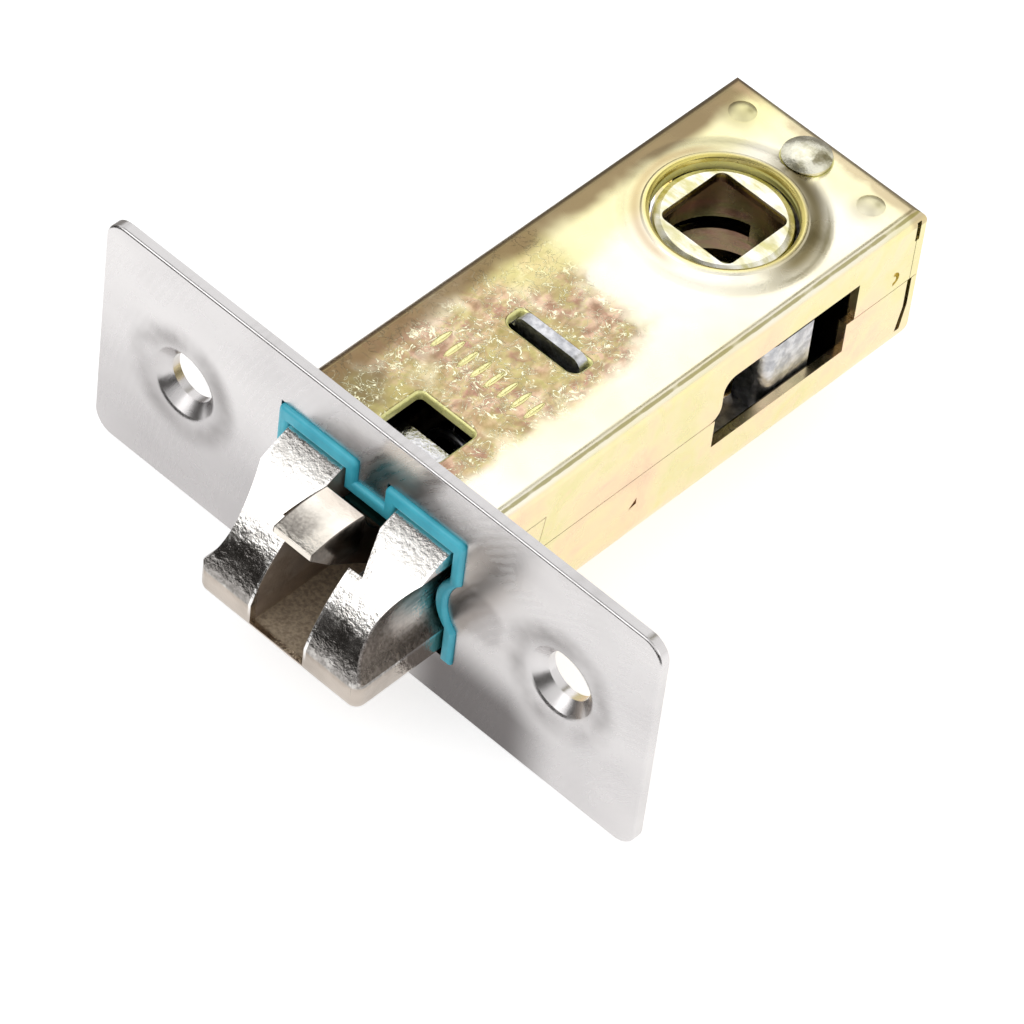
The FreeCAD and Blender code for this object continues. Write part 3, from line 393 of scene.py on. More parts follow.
# %% Layers
def new_material(name, metallic=1.0, **settings):
    """Start a material with one Principled shader."""
    material = bpy.data.materials.new(name)
    material.use_nodes = True
    tree = material.node_tree
    tree.nodes.clear()
    out = tree.nodes.new("ShaderNodeOutputMaterial")
    shader = add_node(tree, "ShaderNodeBsdfPrincipled", metallic=metallic, **settings)
    tree.links.new(shader.outputs["BSDF"], out.inputs["Surface"])
    return material, tree, shader


def mix(tree, mask, under, over):
    """Lay one colour over another where a mask says so."""
    node = add_node(tree, "ShaderNodeMix", data_type="RGBA")
    for place, source in ((0, mask), (6, under), (7, over)):
        feed(tree, node.inputs[place], source)
    return node.outputs[2]


def layer(tree, mask, strength, under, over):
    """Lay a colour over another at part strength."""
    return mix(tree, calc(tree, "MULTIPLY", mask, strength), under, over)


def two_tones(tree, size, softness, one, other, **values):
    """Drift from one tone to another in soft patches."""
    return mix(tree, patches(tree, size, softness, **values), one, other)


print("layers ready")

# %% Borders and heights
def broken(tree, mask, size, amount):
    """Break up the border of a mask with noise, so that it doesn't look drawn."""
    noise = patches(tree, size, 0.4, low=1 - amount, high=1 + amount)
    return remap(tree, calc(tree, "MULTIPLY", mask, noise), 0.15, 0.9)


def raise_surface(tree, shader, *heights):
    """Add up heights in metres and turn them into a normal."""
    total = heights[0]
    for height in heights[1:]:
        total = calc(tree, "ADD", total, height)
    bump = add_node(tree, "ShaderNodeBump", strength=1.0, distance=1.0)
    tree.links.new(total, bump.inputs["Height"])
    tree.links.new(bump.outputs["Normal"], shader.inputs["Normal"])


print("borders and heights ready")

# %% [markdown]
# ## Plain metals and plastics
# Most slots need the same recipe: a base colour that drifts between two tones, a roughness that
# drifts with it, and a grain. Writing it once as a function keeps each finish to one call, with the
# tones read from the photograph.

# %% Plain finishes
ROUGH_SHIFT = (0.1, 0.2, 0.3)


def finish(name, tones, rough, patch, skin, metallic=1.0, **settings):
    """Make a plain finish from two tones, two roughnesses, a patch size, and a grain's size and depth."""
    material, tree, shader = new_material(name, metallic, **settings)
    tree.links.new(two_tones(tree, patch, 0.35, *tones), shader.inputs["Base Color"])
    drift = patches(tree, patch * 0.6, 0.4, low=rough[0], high=rough[1], shift=ROUGH_SHIFT)
    tree.links.new(drift, shader.inputs["Roughness"])
    raise_surface(tree, shader, grain(tree, *skin))
    return material


MATERIALS = {
    "inner_zinc": finish("inner_zinc", (srgb(226, 226, 229), srgb(178, 179, 184)), (0.3, 0.42), 0.8,
                         (0.3, 0.04)),
    "rivet_zinc": finish("rivet_zinc", (srgb(244, 241, 222), srgb(186, 181, 150)), (0.16, 0.3), 1.6,
                         (0.4, 0.02)),
    "spring_steel": finish("spring_steel", (srgb(160, 160, 162), srgb(126, 126, 130)), (0.3, 0.4), 2,
                           (0.2, 0.005)),
    "collar_plastic": finish("collar_plastic", (srgb(84, 210, 232), srgb(70, 192, 216)), (0.32, 0.42), 3,
                             (0.3, 0.004), metallic=0.0, specular_ior_level=0.6),
    "washer_plastic": finish("washer_plastic", (srgb(38, 38, 42), srgb(30, 30, 33)), (0.4, 0.5), 3,
                             (0.3, 0.004), metallic=0.0),
}
print("plain finishes:", ", ".join(MATERIALS))

# %% [markdown]
# ## The case's yellow zinc
# The case is steel sheet, plated with zinc and passivated yellow. Its top is almost white with cream
# where the studio's light falls, and the front half is crinkled and runs through pink, brown and
# green. The folds and the pressed ring round the hub are painted darker, as shade and dark reflection,
# because they tilt away; the top beside the plate carries painted shade, and the wrinkles' ridges and
# the bars' tops carry painted highlights. Inside, the sheet never sees light, so it is painted in
# shade. Each of these is one layer, laid over the last by its own mask.

# %% Crinkled film
def green_film(tree):
    """Mask the greenish film: in patches, round the slot and beside the front window."""
    drift = patches(tree, 4.5, 0.35, low=-0.4, high=0.8, shift=(0.2, 0.7, 0.1))
    round_slot = calc(tree, "MULTIPLY", halo(tree, (0, 17.8, 8), 3.2, 1.8), 0.8)
    beside_window = halo(tree, (-4, 3.6, 8), 1.0, 6.5)
    total = calc(tree, "ADD", beside_window, calc(tree, "MAXIMUM", drift, round_slot))
    return calc(tree, "MINIMUM", total, 1.0)


def top_film(tree, under, ridges, crinkled):
    """Colour the crinkled front of the top: tints with dark brown patches, painted shade beside the plate,
    and pale ridge lines that are painted highlights.
    """
    tints = place_group(tree, STRONG_TINTS, size=2.6 * MM)
    dark_patches = patches(tree, 0.7, 0.3, shift=(0.3, 0.1, 0.2), stretch=(1.0, 0.45, 1.0))
    tints = layer(tree, dark_patches, 0.55, tints, srgb(128, 100, 78))
    tints = layer(tree, green_film(tree), 0.65, tints, srgb(176, 172, 100))
    # painted shade on the top beside the upright plate
    painted_plate_shade = broken(tree, zone(tree, (-16, -8, 7), (-1.5, 10, 11), (5.0, 5.0, 0.1)), 4, 0.3)
    tints = layer(tree, painted_plate_shade, 0.8, tints, srgb(112, 96, 72))
    bare = broken(tree, zone(tree, (-4.5, 25.5, 7), (1.5, 31.5, 11), (2.0, 2.0, 0.1)), 3, 0.5)
    tints = layer(tree, bare, 0.7, tints, srgb(236, 236, 232))
    # pale ridge lines are painted highlights on the wrinkles; the wrinkles' bump is real
    tints = mix(tree, ridges, tints, srgb(255, 252, 216))
    return mix(tree, crinkled, under, tints)


print("crinkled film ready")

# %% Borders of the top
def top_borders(tree, colour):
    """Lay straw over the top's rear, and painted shade in brown along its left and rear folds."""
    straw = broken(tree, zone(tree, (-14, 14, 6.5), (-1.5, 60, 10), (5.0, 12.0, 0.3)), 6, 0.3)
    colour = layer(tree, straw, 0.6, colour, srgb(232, 224, 156))
    straw = broken(tree, zone(tree, (-14, 46, 6.5), (14, 60, 10), (3.0, 6.0, 0.3)), 5, 0.35)
    colour = layer(tree, straw, 0.5, colour, srgb(234, 226, 160))
    # painted shade in brown along the left fold, and below it along the rear fold
    left = broken(tree, zone(tree, (-14, -3, 6.5), (-6.2, 56, 10), (3.2, 2.8, 0.3)), 7, 0.25)
    colour = layer(tree, left, 0.9, colour, srgb(128, 106, 76))
    rear = broken(tree, zone(tree, (-13, 50.2, 6.5), (13, 56, 10), (2.0, 2.0, 0.4)), 3, 0.5)
    return layer(tree, rear, 0.6, colour, srgb(178, 152, 118))


print("borders ready")

# %% Round the hub
HUB = (0, 40, 8)


def hub_marks(tree, colour, far_side):
    """Draw the pressed ring round the hub: shade on its far side, a line on its near side, a bead."""
    shade = calc(tree, "MULTIPLY", halo(tree, HUB, 7.4, 1.5), far_side)
    colour = layer(tree, shade, 0.85, colour, srgb(122, 106, 54))
    near_side = zone(tree, (-14, 28, 7.3), (2, 46, 10), (3, 3, 0.4))
    thin_line = calc(tree, "MULTIPLY", halo(tree, HUB, 7.3, 0.8), near_side)
    colour = layer(tree, thin_line, 0.55, colour, srgb(182, 148, 100))
    rim = zone(tree, (-7.5, 32, 7.6), (7.5, 48, 10), 0.2)
    bead = calc(tree, "MULTIPLY", halo(tree, HUB, 6.3, 0.6), rim)
    return layer(tree, bead, 0.8, colour, srgb(226, 208, 96))


print("hub at", HUB, "mm")

# %% Edges and inside
def edges_and_inside(tree, colour, cut_edges):
    """Paint a dark reflection along the right fold, brighten cut edges, paint highlights on the bars' tops,
    and paint shade inside.
    """
    # painted dark reflection along the right fold
    fold = broken(tree, zone(tree, (9.7, -1, 7.4), (10.15, 54, 8.3), 0.2), 2, 0.4)
    colour = layer(tree, fold, 0.75, colour, srgb(150, 140, 66))
    colour = mix(tree, cut_edges, colour, srgb(250, 246, 168))
    # painted highlights on the bars' tops
    painted_bar_highlights = zone(tree, (-6.8, 11.8, 8.005), (5.2, 14.8, 8.5), (0.1, 0.1, 0.02))
    colour = mix(tree, painted_bar_highlights, colour, srgb(250, 242, 176))
    # painted shade inside the case
    inside = zone(tree, (-9.75, 0, -7.25), (9.75, 52.25, 7.2), 0.06)
    return layer(tree, inside, 0.95, colour, srgb(46, 39, 34))


print("edges ready")

# %% Yellow zinc
def make_case_zinc():
    material, tree, shader = new_material("case_zinc")
    cream = two_tones(tree, 14, 0.5, srgb(255, 251, 236), srgb(246, 236, 202))
    top = zone(tree, (-11, 0, 7.3), (11, 54, 10), 0.35)
    colour = mix(tree, top, place_group(tree, PALE_TINTS, size=12 * MM), cream)
    crinkled = broken(tree, zone(tree, (-13, -4, 7.2), (8.0, 30, 10), (4.0, 6.0, 0.3)), 5, 0.45)
    ridges = calc(tree, "MAXIMUM", place_group(tree, CRINKLES, size=1.1 * MM, bend=0.8),
                  place_group(tree, CRINKLES, size=1.4 * MM, bend=1.0, shift=(0.5, 0.4, 0.0)))
    far_side = zone(tree, (-2.5, 36.5, 7.3), (14, 54, 10), (4.0, 4.0, 0.4))
    cut_edges = zone(tree, (-9.6, 1.5, 7.15), (9.6, 52.1, 7.985), (0.1, 0.1, 0.03))
    colour = top_film(tree, colour, ridges, crinkled)
    colour = top_borders(tree, colour)
    colour = hub_marks(tree, colour, far_side)
    tree.links.new(edges_and_inside(tree, colour, cut_edges), shader.inputs["Base Color"])
    tree.links.new(calc(tree, "MULTIPLY_ADD", cut_edges, -0.7, 1.0), shader.inputs["Metallic"])
    rough = patches(tree, 5, 0.4, low=0.22, high=0.32, shift=ROUGH_SHIFT)
    dimples = halo(tree, (7, 49, 8), 0.0, 2.2, fold=BOTH_SIDES)
    tree.links.new(calc(tree, "MULTIPLY_ADD", dimples, 0.3, rough), shader.inputs["Roughness"])
    wrinkles = calc(tree, "MULTIPLY", ridges, calc(tree, "MULTIPLY", crinkled, 0.012 * MM))
    swell = calc(tree, "MULTIPLY", halo(tree, HUB, 6.6, 2.0), calc(tree, "MULTIPLY", far_side, 0.35 * MM))
    raise_surface(tree, shader, grain(tree, 0.5, 0.008), wrinkles, swell)
    return material


MATERIALS["case_zinc"] = make_case_zinc()
print("case finish:", len(MATERIALS["case_zinc"].node_tree.nodes), "shader nodes")

# %% [markdown]
# ## The follower's yellow zinc
# The follower's cups are drawn from the same kind of sheet. Their tops are bright and silvery with a
# little straw, and the bore goes dark with bands of pink and green, because light comes in only from
# its ends.

# %% Follower finish
def make_follower_zinc():
    material, tree, shader = new_material("follower_zinc")
    wall = two_tones(tree, 3, 0.3, srgb(226, 212, 120), srgb(200, 190, 110))
    face = two_tones(tree, 2.5, 0.35, srgb(250, 247, 234), srgb(206, 200, 146), stretch=(1.0, 2.5, 1.0))
    colour = mix(tree, zone(tree, (-6.4, 33.6, 7.5), (6.4, 46.4, 9), 0.15), wall, face)
    bore = two_tones(tree, 3, 0.5, srgb(150, 116, 110), srgb(132, 138, 96), stretch=(0.6, 0.6, 2.0))
    colour = mix(tree, zone(tree, (-5.4, 34.6, -7.7), (5.4, 45.4, 7.45), 0.25), colour, bore)
    tree.links.new(colour, shader.inputs["Base Color"])
    tree.links.new(patches(tree, 3, 0.4, low=0.2, high=0.32), shader.inputs["Roughness"])
    raise_surface(tree, shader, grain(tree, 0.4, 0.01))
    return material


MATERIALS["follower_zinc"] = make_follower_zinc()
print("follower finish ready")

# %% [markdown]
# ## The bolt's nickel
# The bolt is a zinc casting under bright nickel. It mirrors the white studio on its shoulders; the
# dark room low down, the floor under its nose and the light along its edges are painted reflections
# and highlights in its colour, all broken up by orange peel. The lever's mouth and the side grooves
# are hard to polish, so they stay brown-grey and dull; the grooves' pockets are painted darker as
# shade, with a painted highlight along their middle. The bevel is bowed, and a ring round the bow's
# own axis tells its skin from the walls of the grooves.

# %% Bow of the bevel
BEVEL_NOSE = (-9.6, -3.9)
BEVEL_CROWN = (0.0, 5.45)
BEVEL_BULGE = 1.45


def bevel_circle():
    """Fit a circle, in millimetres across Y and Z, through the bevel's nose and crown with its bulge."""
    nose, crown = Vector(BEVEL_NOSE), Vector(BEVEL_CROWN)
    chord = crown - nose
    radius = (chord.length ** 2 / 4 + BEVEL_BULGE ** 2) / (2 * BEVEL_BULGE)
    inward = Vector((chord.y, -chord.x)).normalized()
    centre = (nose + crown) / 2 + inward * (radius - BEVEL_BULGE)
    return (0.0, centre.x, centre.y), radius


BEVEL_CENTRE, BEVEL_RADIUS = bevel_circle()
print("bevel radius:", round(BEVEL_RADIUS, 2), "mm")

# %% Bolt's front and shoulders
def bolt_front(tree, specks):
    """Colour the bolt's outside: bright on top, with a painted dark reflection speckled low in front and a
    painted brownish reflection of the floor under its edge.
    """
    colour = two_tones(tree, 4, 0.35, srgb(240, 237, 233), srgb(222, 218, 213))
    # painted dark reflection, speckled, low on the bolt's front
    painted_low_reflection = broken(tree, zone(tree, (-12, -14, -5.2), (12, -4.4, 0.4), 1.6), 1, 0.45)
    colour = layer(tree, painted_low_reflection, 0.8, colour, mix(tree, specks, srgb(84, 79, 75), srgb(150, 145, 141)))
    # painted brownish reflection of the floor under the bolt's edge
    painted_nose_reflection = zone(tree, (-12, -12, -8), (12, 4, -3.9), (1.0, 0.4, 0.3))
    tone = two_tones(tree, 6, 0.5, srgb(190, 178, 166), srgb(158, 146, 134), shift=(0.01, 0, 0))
    return layer(tree, painted_nose_reflection, 0.85, colour, tone)


def painted_edge_highlights(tree, colour, skin):
    """Paint highlights along the edges of the bevel beside the grooves and the mouth."""
    beside_groove = zone(tree, (8.5, -12, -3.8), (9.2, 3, 7), 0.08, BOTH_SIDES)
    beside_mouth = zone(tree, (2.9, -12, -5.6), (3.22, 3, 7), 0.08, BOTH_SIDES)
    # painted highlights along the bevel's edges
    edges = calc(tree, "MULTIPLY", calc(tree, "MAXIMUM", beside_groove, beside_mouth), skin)
    return layer(tree, edges, 0.85, colour, srgb(255, 253, 250))


print("bolt's outside ready")

# %% Bolt's hollows
def bolt_groove(tree, colour, groove, specks):
    """Dull the side grooves, paint shade into their pockets, and paint a highlight along the middle of each.
    """
    # painted highlight along the middle of each groove
    painted_groove_highlight = broken(tree, zone(tree, (6, -7.0, -3.4), (10, 1.6, 2.6), (1, 3.2, 2.6), BOTH_SIDES), 1.2, 0.2)
    # painted shade in the groove's pocket, which is also dull
    pocket = mix(tree, specks, srgb(120, 112, 104), srgb(152, 143, 134))
    return mix(tree, groove, colour, layer(tree, painted_groove_highlight, 0.9, pocket, srgb(232, 225, 217)))


def bolt_mouth(tree, colour, mouth, specks):
    """Dull the lever's mouth, with a paler floor."""
    colour = mix(tree, mouth, colour, two_tones(tree, 3, 0.5, srgb(140, 121, 104), srgb(168, 149, 130)))
    mouth_floor = zone(tree, (-2.95, -9.7, -6.4), (2.95, 4, -5.6), (0.1, 0.3, 0.2))
    return mix(tree, mouth_floor, colour, mix(tree, specks, srgb(166, 147, 126), srgb(206, 188, 162)))


print("bolt's hollows ready")

# %% Bolt finish
def make_bolt_nickel():
    material, tree, shader = new_material("bolt_nickel")
    specks = patches(tree, 0.3, 0.4)
    skin = halo(tree, BEVEL_CENTRE, BEVEL_RADIUS, 0.5, across=ROUND_X)
    groove = calc(tree, "MULTIPLY", zone(tree, (6.85, -12, -3.8), (9.2, 3, 3.95), 0.1, BOTH_SIDES),
                  calc(tree, "SUBTRACT", 1.0, skin))
    mouth = zone(tree, (-2.97, -9.3, -6.2), (2.97, 4, 6.5), (0.1, 0.6, 0.3))
    colour = painted_edge_highlights(tree, bolt_front(tree, specks), skin)
    boss = zone(tree, (-12, 2.2, -8), (12, 14, 8), 0.3)
    colour = layer(tree, boss, 0.8, colour, mix(tree, specks, srgb(170, 170, 174), srgb(212, 212, 215)))
    colour = bolt_groove(tree, colour, groove, specks)
    tree.links.new(bolt_mouth(tree, colour, mouth, specks), shader.inputs["Base Color"])
    rough = patches(tree, 2, 0.4, low=0.1, high=0.2, shift=ROUGH_SHIFT)
    rough = calc(tree, "MULTIPLY_ADD", groove, 0.14, rough)
    tree.links.new(calc(tree, "MULTIPLY_ADD", mouth, 0.3, rough), shader.inputs["Roughness"])
    tree.links.new(calc(tree, "MULTIPLY_ADD", mouth, -0.75, 1.0), shader.inputs["Metallic"])
    raise_surface(tree, shader, grain(tree, 0.3, 0.036))
    return material


MATERIALS["bolt_nickel"] = make_bolt_nickel()
print("bolt finish:", len(MATERIALS["bolt_nickel"].node_tree.nodes), "shader nodes")

# %% [markdown]
# ## The lever's nickel
# The lever is cast and plated like the bolt, but a little warmer. Its crown is bright, its front half
# carries a speckled, painted dark reflection, and its tip ends in a thin pale lip. Its cheeks and its
# lower half stand in the mouth's shade, which is painted into their colour.

# %% Lever finish
def make_lever_nickel():
    material, tree, shader = new_material("lever_nickel")
    specks = patches(tree, 0.3, 0.5)
    colour = two_tones(tree, 3, 0.35, srgb(242, 236, 226), srgb(228, 220, 208))
    # painted dark reflection, speckled, on the lever's front half
    front = broken(tree, zone(tree, (-5, -8.55, 3.0), (1.9, -4.6, 8), (2.6, 0.4, 0.4)), 0.6, 0.25)
    front = calc(tree, "MULTIPLY", front, zone(tree, (-5, -12, 3), (5, -4.4, 8), (1, 2.8, 1)))
    colour = layer(tree, front, 0.85, colour, mix(tree, specks, srgb(104, 98, 92), srgb(168, 162, 154)))
    # painted shade on the cheeks and the lower half, inside the mouth
    cheek = zone(tree, (1.95, -9.5, -4), (2.4, 4, 7.5), (0.06, 0.4, 0.4), BOTH_SIDES)
    colour = layer(tree, cheek, 0.9, colour, mix(tree, specks, srgb(60, 53, 48), srgb(106, 97, 90)))
    below = zone(tree, (-3, -9.5, -4), (3, 4, 4.4), (0.1, 0.4, 0.5))
    colour = layer(tree, below, 0.85, colour, srgb(98, 88, 78))
    tree.links.new(colour, shader.inputs["Base Color"])
    tree.links.new(patches(tree, 2, 0.4, low=0.14, high=0.24), shader.inputs["Roughness"])
    raise_surface(tree, shader, grain(tree, 0.4, 0.02))
    return material


MATERIALS["lever_nickel"] = make_lever_nickel()
print("lever finish:", len(MATERIALS["lever_nickel"].node_tree.nodes), "shader nodes")

# %% [markdown]
# ## The plate's stainless steel
# The plate is polished stainless sheet. The polishing wheel leaves faint arcs. The dished holes pull
# the surface down in a soft halo round each, and the pressed opening warps the metal near the tab; the
# dark reflections there, and those of the bolt and its shadow below the opening, are painted into
# the plate's colour.

# %% Plate's tones
SCREW_HOLE = (20.7, 0, 0)


def plate_tones(tree):
    """Paint reflections into the plate's colour: dark round the dishes, above, beside and below the opening
    and at the lower left, and grey on its top edge.
    """
    colour = two_tones(tree, 16, 0.6, srgb(226, 223, 222), srgb(202, 199, 199), stretch=(0.6, 1.0, 1.2))
    # painted dark reflection round each dished screw hole
    painted_dish_reflection = halo(tree, SCREW_HOLE, 4.6, 2.0, ROUND_Y, BOTH_SIDES)
    painted_dish_reflection = calc(tree, "MULTIPLY", painted_dish_reflection, patches(tree, 6, 0.4, low=0.15, high=0.8))
    colour = mix(tree, painted_dish_reflection, colour, srgb(142, 138, 137))
    # painted dark reflections above and beside the opening and at the lower left
    above = broken(tree, zone(tree, (-6, -4, 2.5), (11, 4, 12), (5.0, 1.0, 3.5)), 6, 0.35)
    colour = layer(tree, above, 0.5, colour, srgb(128, 123, 122))
    beside = broken(tree, zone(tree, (6.5, -4, -3.5), (16, 4, 4), (3.0, 1.0, 2.6)), 5, 0.35)
    colour = layer(tree, beside, 0.35, colour, srgb(126, 120, 119))
    low_left = zone(tree, (-40, -10, -20), (0, 10, 2), (10, 1, 9))
    colour = layer(tree, low_left, 0.35, colour, srgb(160, 156, 156))
    # painted dark reflection of the bolt and its shadow below the opening
    below = zone(tree, (3, -10, -18), (22, 10, -3), (6.0, 1.0, 5.0))
    colour = layer(tree, below, 0.9, colour, srgb(96, 91, 90))
    # painted grey reflection on the plate's top edge
    top_edge = zone(tree, (-32, -2, 11.93), (32, 4, 13), (1, 1, 0.05))
    return layer(tree, top_edge, 0.7, colour, srgb(182, 180, 180))


print("plate's tones ready")

# %% Plate finish
WHEEL_CENTRE = (34, 0, -16)
ARCS_PER_METRE = 420.0


def wheel_marks(tree):
    """Draw the polishing wheel's faint arcs, in patches."""
    from_wheel = vector_calc(tree, "SUBTRACT", object_place(tree), mm(*WHEEL_CENTRE))
    arcs = add_node(tree, "ShaderNodeTexWave", wave_type="RINGS", rings_direction="SPHERICAL", distortion=2.5,
                    detail=2.0, detail_scale=1.5, scale=ARCS_PER_METRE, vector=from_wheel)
    return calc(tree, "MULTIPLY", arcs.outputs["Fac"], patches(tree, 5, 0.12, shift=(0.2, 0.5, 0.1)))


def make_plate_steel():
    material, tree, shader = new_material("plate_steel")
    tree.links.new(plate_tones(tree), shader.inputs["Base Color"])
    marks = wheel_marks(tree)
    rough = patches(tree, 7, 0.4, low=0.22, high=0.3)
    tree.links.new(calc(tree, "MULTIPLY_ADD", marks, 0.06, rough), shader.inputs["Roughness"])
    raise_surface(tree, shader, calc(tree, "MULTIPLY", marks, 0.0025 * MM), grain(tree, 1.2, 0.0025))
    return material


MATERIALS["plate_steel"] = make_plate_steel()
print("finishes:", len(MATERIALS))

# %% [markdown]
# ## Dress the CAD nodes
# A node whose shape is right keeps its mesh and only swaps the material in its slot. The record says
# which slot belongs to which node, so nothing is listed twice.

# %% Put each finish on its nodes
SLOTS = {part["node"]: part["material_slot"] for part in frame["record"]["subparts"]}
for name, slot_name in SLOTS.items():
    for material_slot in nodes[name].material_slots:
        material_slot.material = MATERIALS[slot_name]
print("dressed:", len(SLOTS), "nodes")

# %% [markdown]
# ## Rounded edges
# A casting has no knife edges: plating and tumbling round every corner to a tenth of a millimetre or
# two, and that thin rounding catches a line of light. Punched sheet has a smaller one. CAD leaves all
# three pieces sharp. A copy of each mesh is merged and cleaned first, then a Bevel modifier rounds
# the edges that turn sharply.

# %% Round the bolt, the lever and the case's upper half
MERGE_WITHIN = 0.002
FLAT_WITHIN, SHARP_FROM = math.radians(0.3), math.radians(28)
ROUNDING_STEPS = 3


def clean_copy(data):
    """Copy a node's mesh, with its loose triangles merged into smooth, whole faces."""
    data = data.copy()
    mesh = bmesh.new()
    mesh.from_mesh(data)
    bmesh.ops.remove_doubles(mesh, verts=mesh.verts, dist=MERGE_WITHIN * MM)
    bmesh.ops.dissolve_limit(mesh, angle_limit=FLAT_WITHIN, verts=mesh.verts, edges=mesh.edges)
    bmesh.ops.recalc_face_normals(mesh, faces=mesh.faces)
    for face in mesh.faces:
        face.smooth = True
    mesh.to_mesh(data)
    mesh.free()
    if "custom_normal" in data.attributes:
        data.attributes.remove(data.attributes["custom_normal"])
    return data


def rounded(name, body, width):
    """Round a node's sharp edges by a width in millimetres, on a copy that stands for it."""
    piece = bpy.data.objects.new(name + "_rounded", clean_copy(nodes[name].data))
    scene.collection.objects.link(piece)
    bevel = piece.modifiers.new("rounding", "BEVEL")
    bevel.width = width * MM
    bevel.segments = ROUNDING_STEPS
    bevel.limit_method = "ANGLE"
    bevel.angle_limit = SHARP_FROM
    normals = piece.modifiers.new("normals", "WEIGHTED_NORMAL")
    normals.weight = 100
    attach(piece, body)
    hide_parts(name)
    return piece


bolt = rounded("latch_bolt", "bolt", 0.16)
lever = rounded("anti_friction_lever", "lever", 0.18)
case_top = rounded("case_upper", "case", 0.1)
print("rounded:", bolt.name, lever.name, case_top.name)

# %% [markdown]
# ## Growing a piece with Geometry Nodes
# What repeats or follows a rule is grown by a node tree. The tree's sizes are named inputs, set on
# the modifier by each socket's identifier. It ends in Realize Instances, smooth shading and Set
# Material, and it runs once: the result is kept as a plain mesh, and the modifier goes with its seed.

# %% Growing helper
SOCKET_KINDS = {int: "NodeSocketInt", float: "NodeSocketFloat", tuple: "NodeSocketVector"}


def chain(tree, shape, *kinds):
    """Pass a shape through nodes one after another, and give the last node."""
    for kind in kinds:
        node = tree.nodes.new(kind)
        tree.links.new(shape, node.inputs[0])
        shape = node.outputs[0]
    return node


def grow(name, material, sizes, build):
    """Run a node tree with its sizes as named inputs, and keep its result as a plain mesh."""
    tree = bpy.data.node_groups.new(name, "GeometryNodeTree")
    keys = {}
    for title, value in sizes.items():
        given = tree.interface.new_socket(title, in_out="INPUT", socket_type=SOCKET_KINDS[type(value)])
        keys[title] = given.identifier
    tree.interface.new_socket("Geometry", in_out="OUTPUT", socket_type="NodeSocketGeometry")
    shape = build(tree, tree.nodes.new("NodeGroupInput").outputs)
    paint = chain(tree, shape, "GeometryNodeRealizeInstances", "GeometryNodeSetShadeSmooth",
                  "GeometryNodeSetMaterial")
    paint.inputs["Material"].default_value = material
    tree.links.new(paint.outputs[0], tree.nodes.new("NodeGroupOutput").inputs[0])
    seed = bpy.data.objects.new(name + "_seed", bpy.data.meshes.new(name + "_seed"))
    scene.collection.objects.link(seed)
    modifier = seed.modifiers.new("grow", "NODES")
    modifier.node_group = tree
    for title, value in sizes.items():
        modifier[keys[title]] = value
    grown = bpy.data.meshes.new_from_object(seed.evaluated_get(bpy.context.evaluated_depsgraph_get()))
    bpy.data.objects.remove(seed)
    piece = bpy.data.objects.new(name, grown)
    scene.collection.objects.link(piece)
    return piece


print("growing helper ready")

# %% [markdown]
# ## Embossed bars on the case
# A plain row of small raised bars is pressed into the case's top, in front of the slot. One bar is a
# ball stretched to a grain of rice and sunk halfway, and Geometry Nodes repeats it along a line.

# %% Row of bars
BAR_SIZES = {
    "Count": 8, "Start": mm(-5.8, 13.3, 8.0), "Pitch": mm(1.45, 0, 0), "Half Size": (0.3, 1.25, 0.13)}


def build_bars(tree, given):
    line = add_node(tree, "GeometryNodeMeshLine", count=given["Count"], start_location=given["Start"],
                    offset=given["Pitch"])
    ball = add_node(tree, "GeometryNodeMeshUVSphere", segments=16, rings=10, radius=MM)
    row = add_node(tree, "GeometryNodeInstanceOnPoints", scale=given["Half Size"])
    tree.links.new(line.outputs["Mesh"], row.inputs["Points"])
    tree.links.new(ball.outputs["Mesh"], row.inputs["Instance"])
    return row.outputs[0]


bars = grow("embossed_bars", MATERIALS["case_zinc"], BAR_SIZES, build_bars)
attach(bars, "case")
print("bars:", len(bars.data.polygons), "faces")

# %% [markdown]
# ## The spring
# The CAD spring has flat facets. A helix with a round section, swept by Geometry Nodes, is smooth at
# any distance. A spring can't follow the bolt as one stiff piece, so the coil rides with the case.

# %% Coil
SPRING_FRONT, SPRING_BACK, SPRING_HEIGHT = 4.5, 19.4, -0.85
SPRING_RADIUS, WIRE_RADIUS, SPRING_TURNS = 3.7, 0.4, 6.0
SPRING_LENGTH = SPRING_BACK - SPRING_FRONT
COIL_SIZES = {
    "Turns": SPRING_TURNS, "Radius": SPRING_RADIUS * MM, "Wire": WIRE_RADIUS * MM,
    "Rise": (SPRING_LENGTH - 2 * WIRE_RADIUS) * MM,
    "Foot": mm(0.0, SPRING_FRONT + WIRE_RADIUS, SPRING_HEIGHT)}


def build_coil(tree, given):
    helix = add_node(tree, "GeometryNodeCurveSpiral", resolution=48, rotations=given["Turns"],
                     start_radius=given["Radius"], end_radius=given["Radius"])
    tree.links.new(given["Rise"], helix.inputs["Height"])
    wire = add_node(tree, "GeometryNodeCurvePrimitiveCircle", radius=given["Wire"])
    wire.inputs["Resolution"].default_value = 12
    sweep = add_node(tree, "GeometryNodeCurveToMesh", fill_caps=True)
    tree.links.new(helix.outputs[0], sweep.inputs["Curve"])
    tree.links.new(wire.outputs["Curve"], sweep.inputs["Profile Curve"])
    laid = add_node(tree, "GeometryNodeTransform", rotation=(-math.pi / 2, 0, 0), translation=given["Foot"])
    tree.links.new(sweep.outputs[0], laid.inputs[0])
    return laid.outputs[0]


spring = grow("coil", MATERIALS["spring_steel"], COIL_SIZES, build_coil)
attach(spring, "case")
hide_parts("bolt_spring")
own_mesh(spring)
print("spring:", len(spring.data.polygons), "faces")

# %% [markdown]
# ## The studio: floor and world
# The photograph is a product shot on white. The floor and the world are white to the camera and in
# reflections, through Light Path, while the light that falls on the object stays at a plain level.

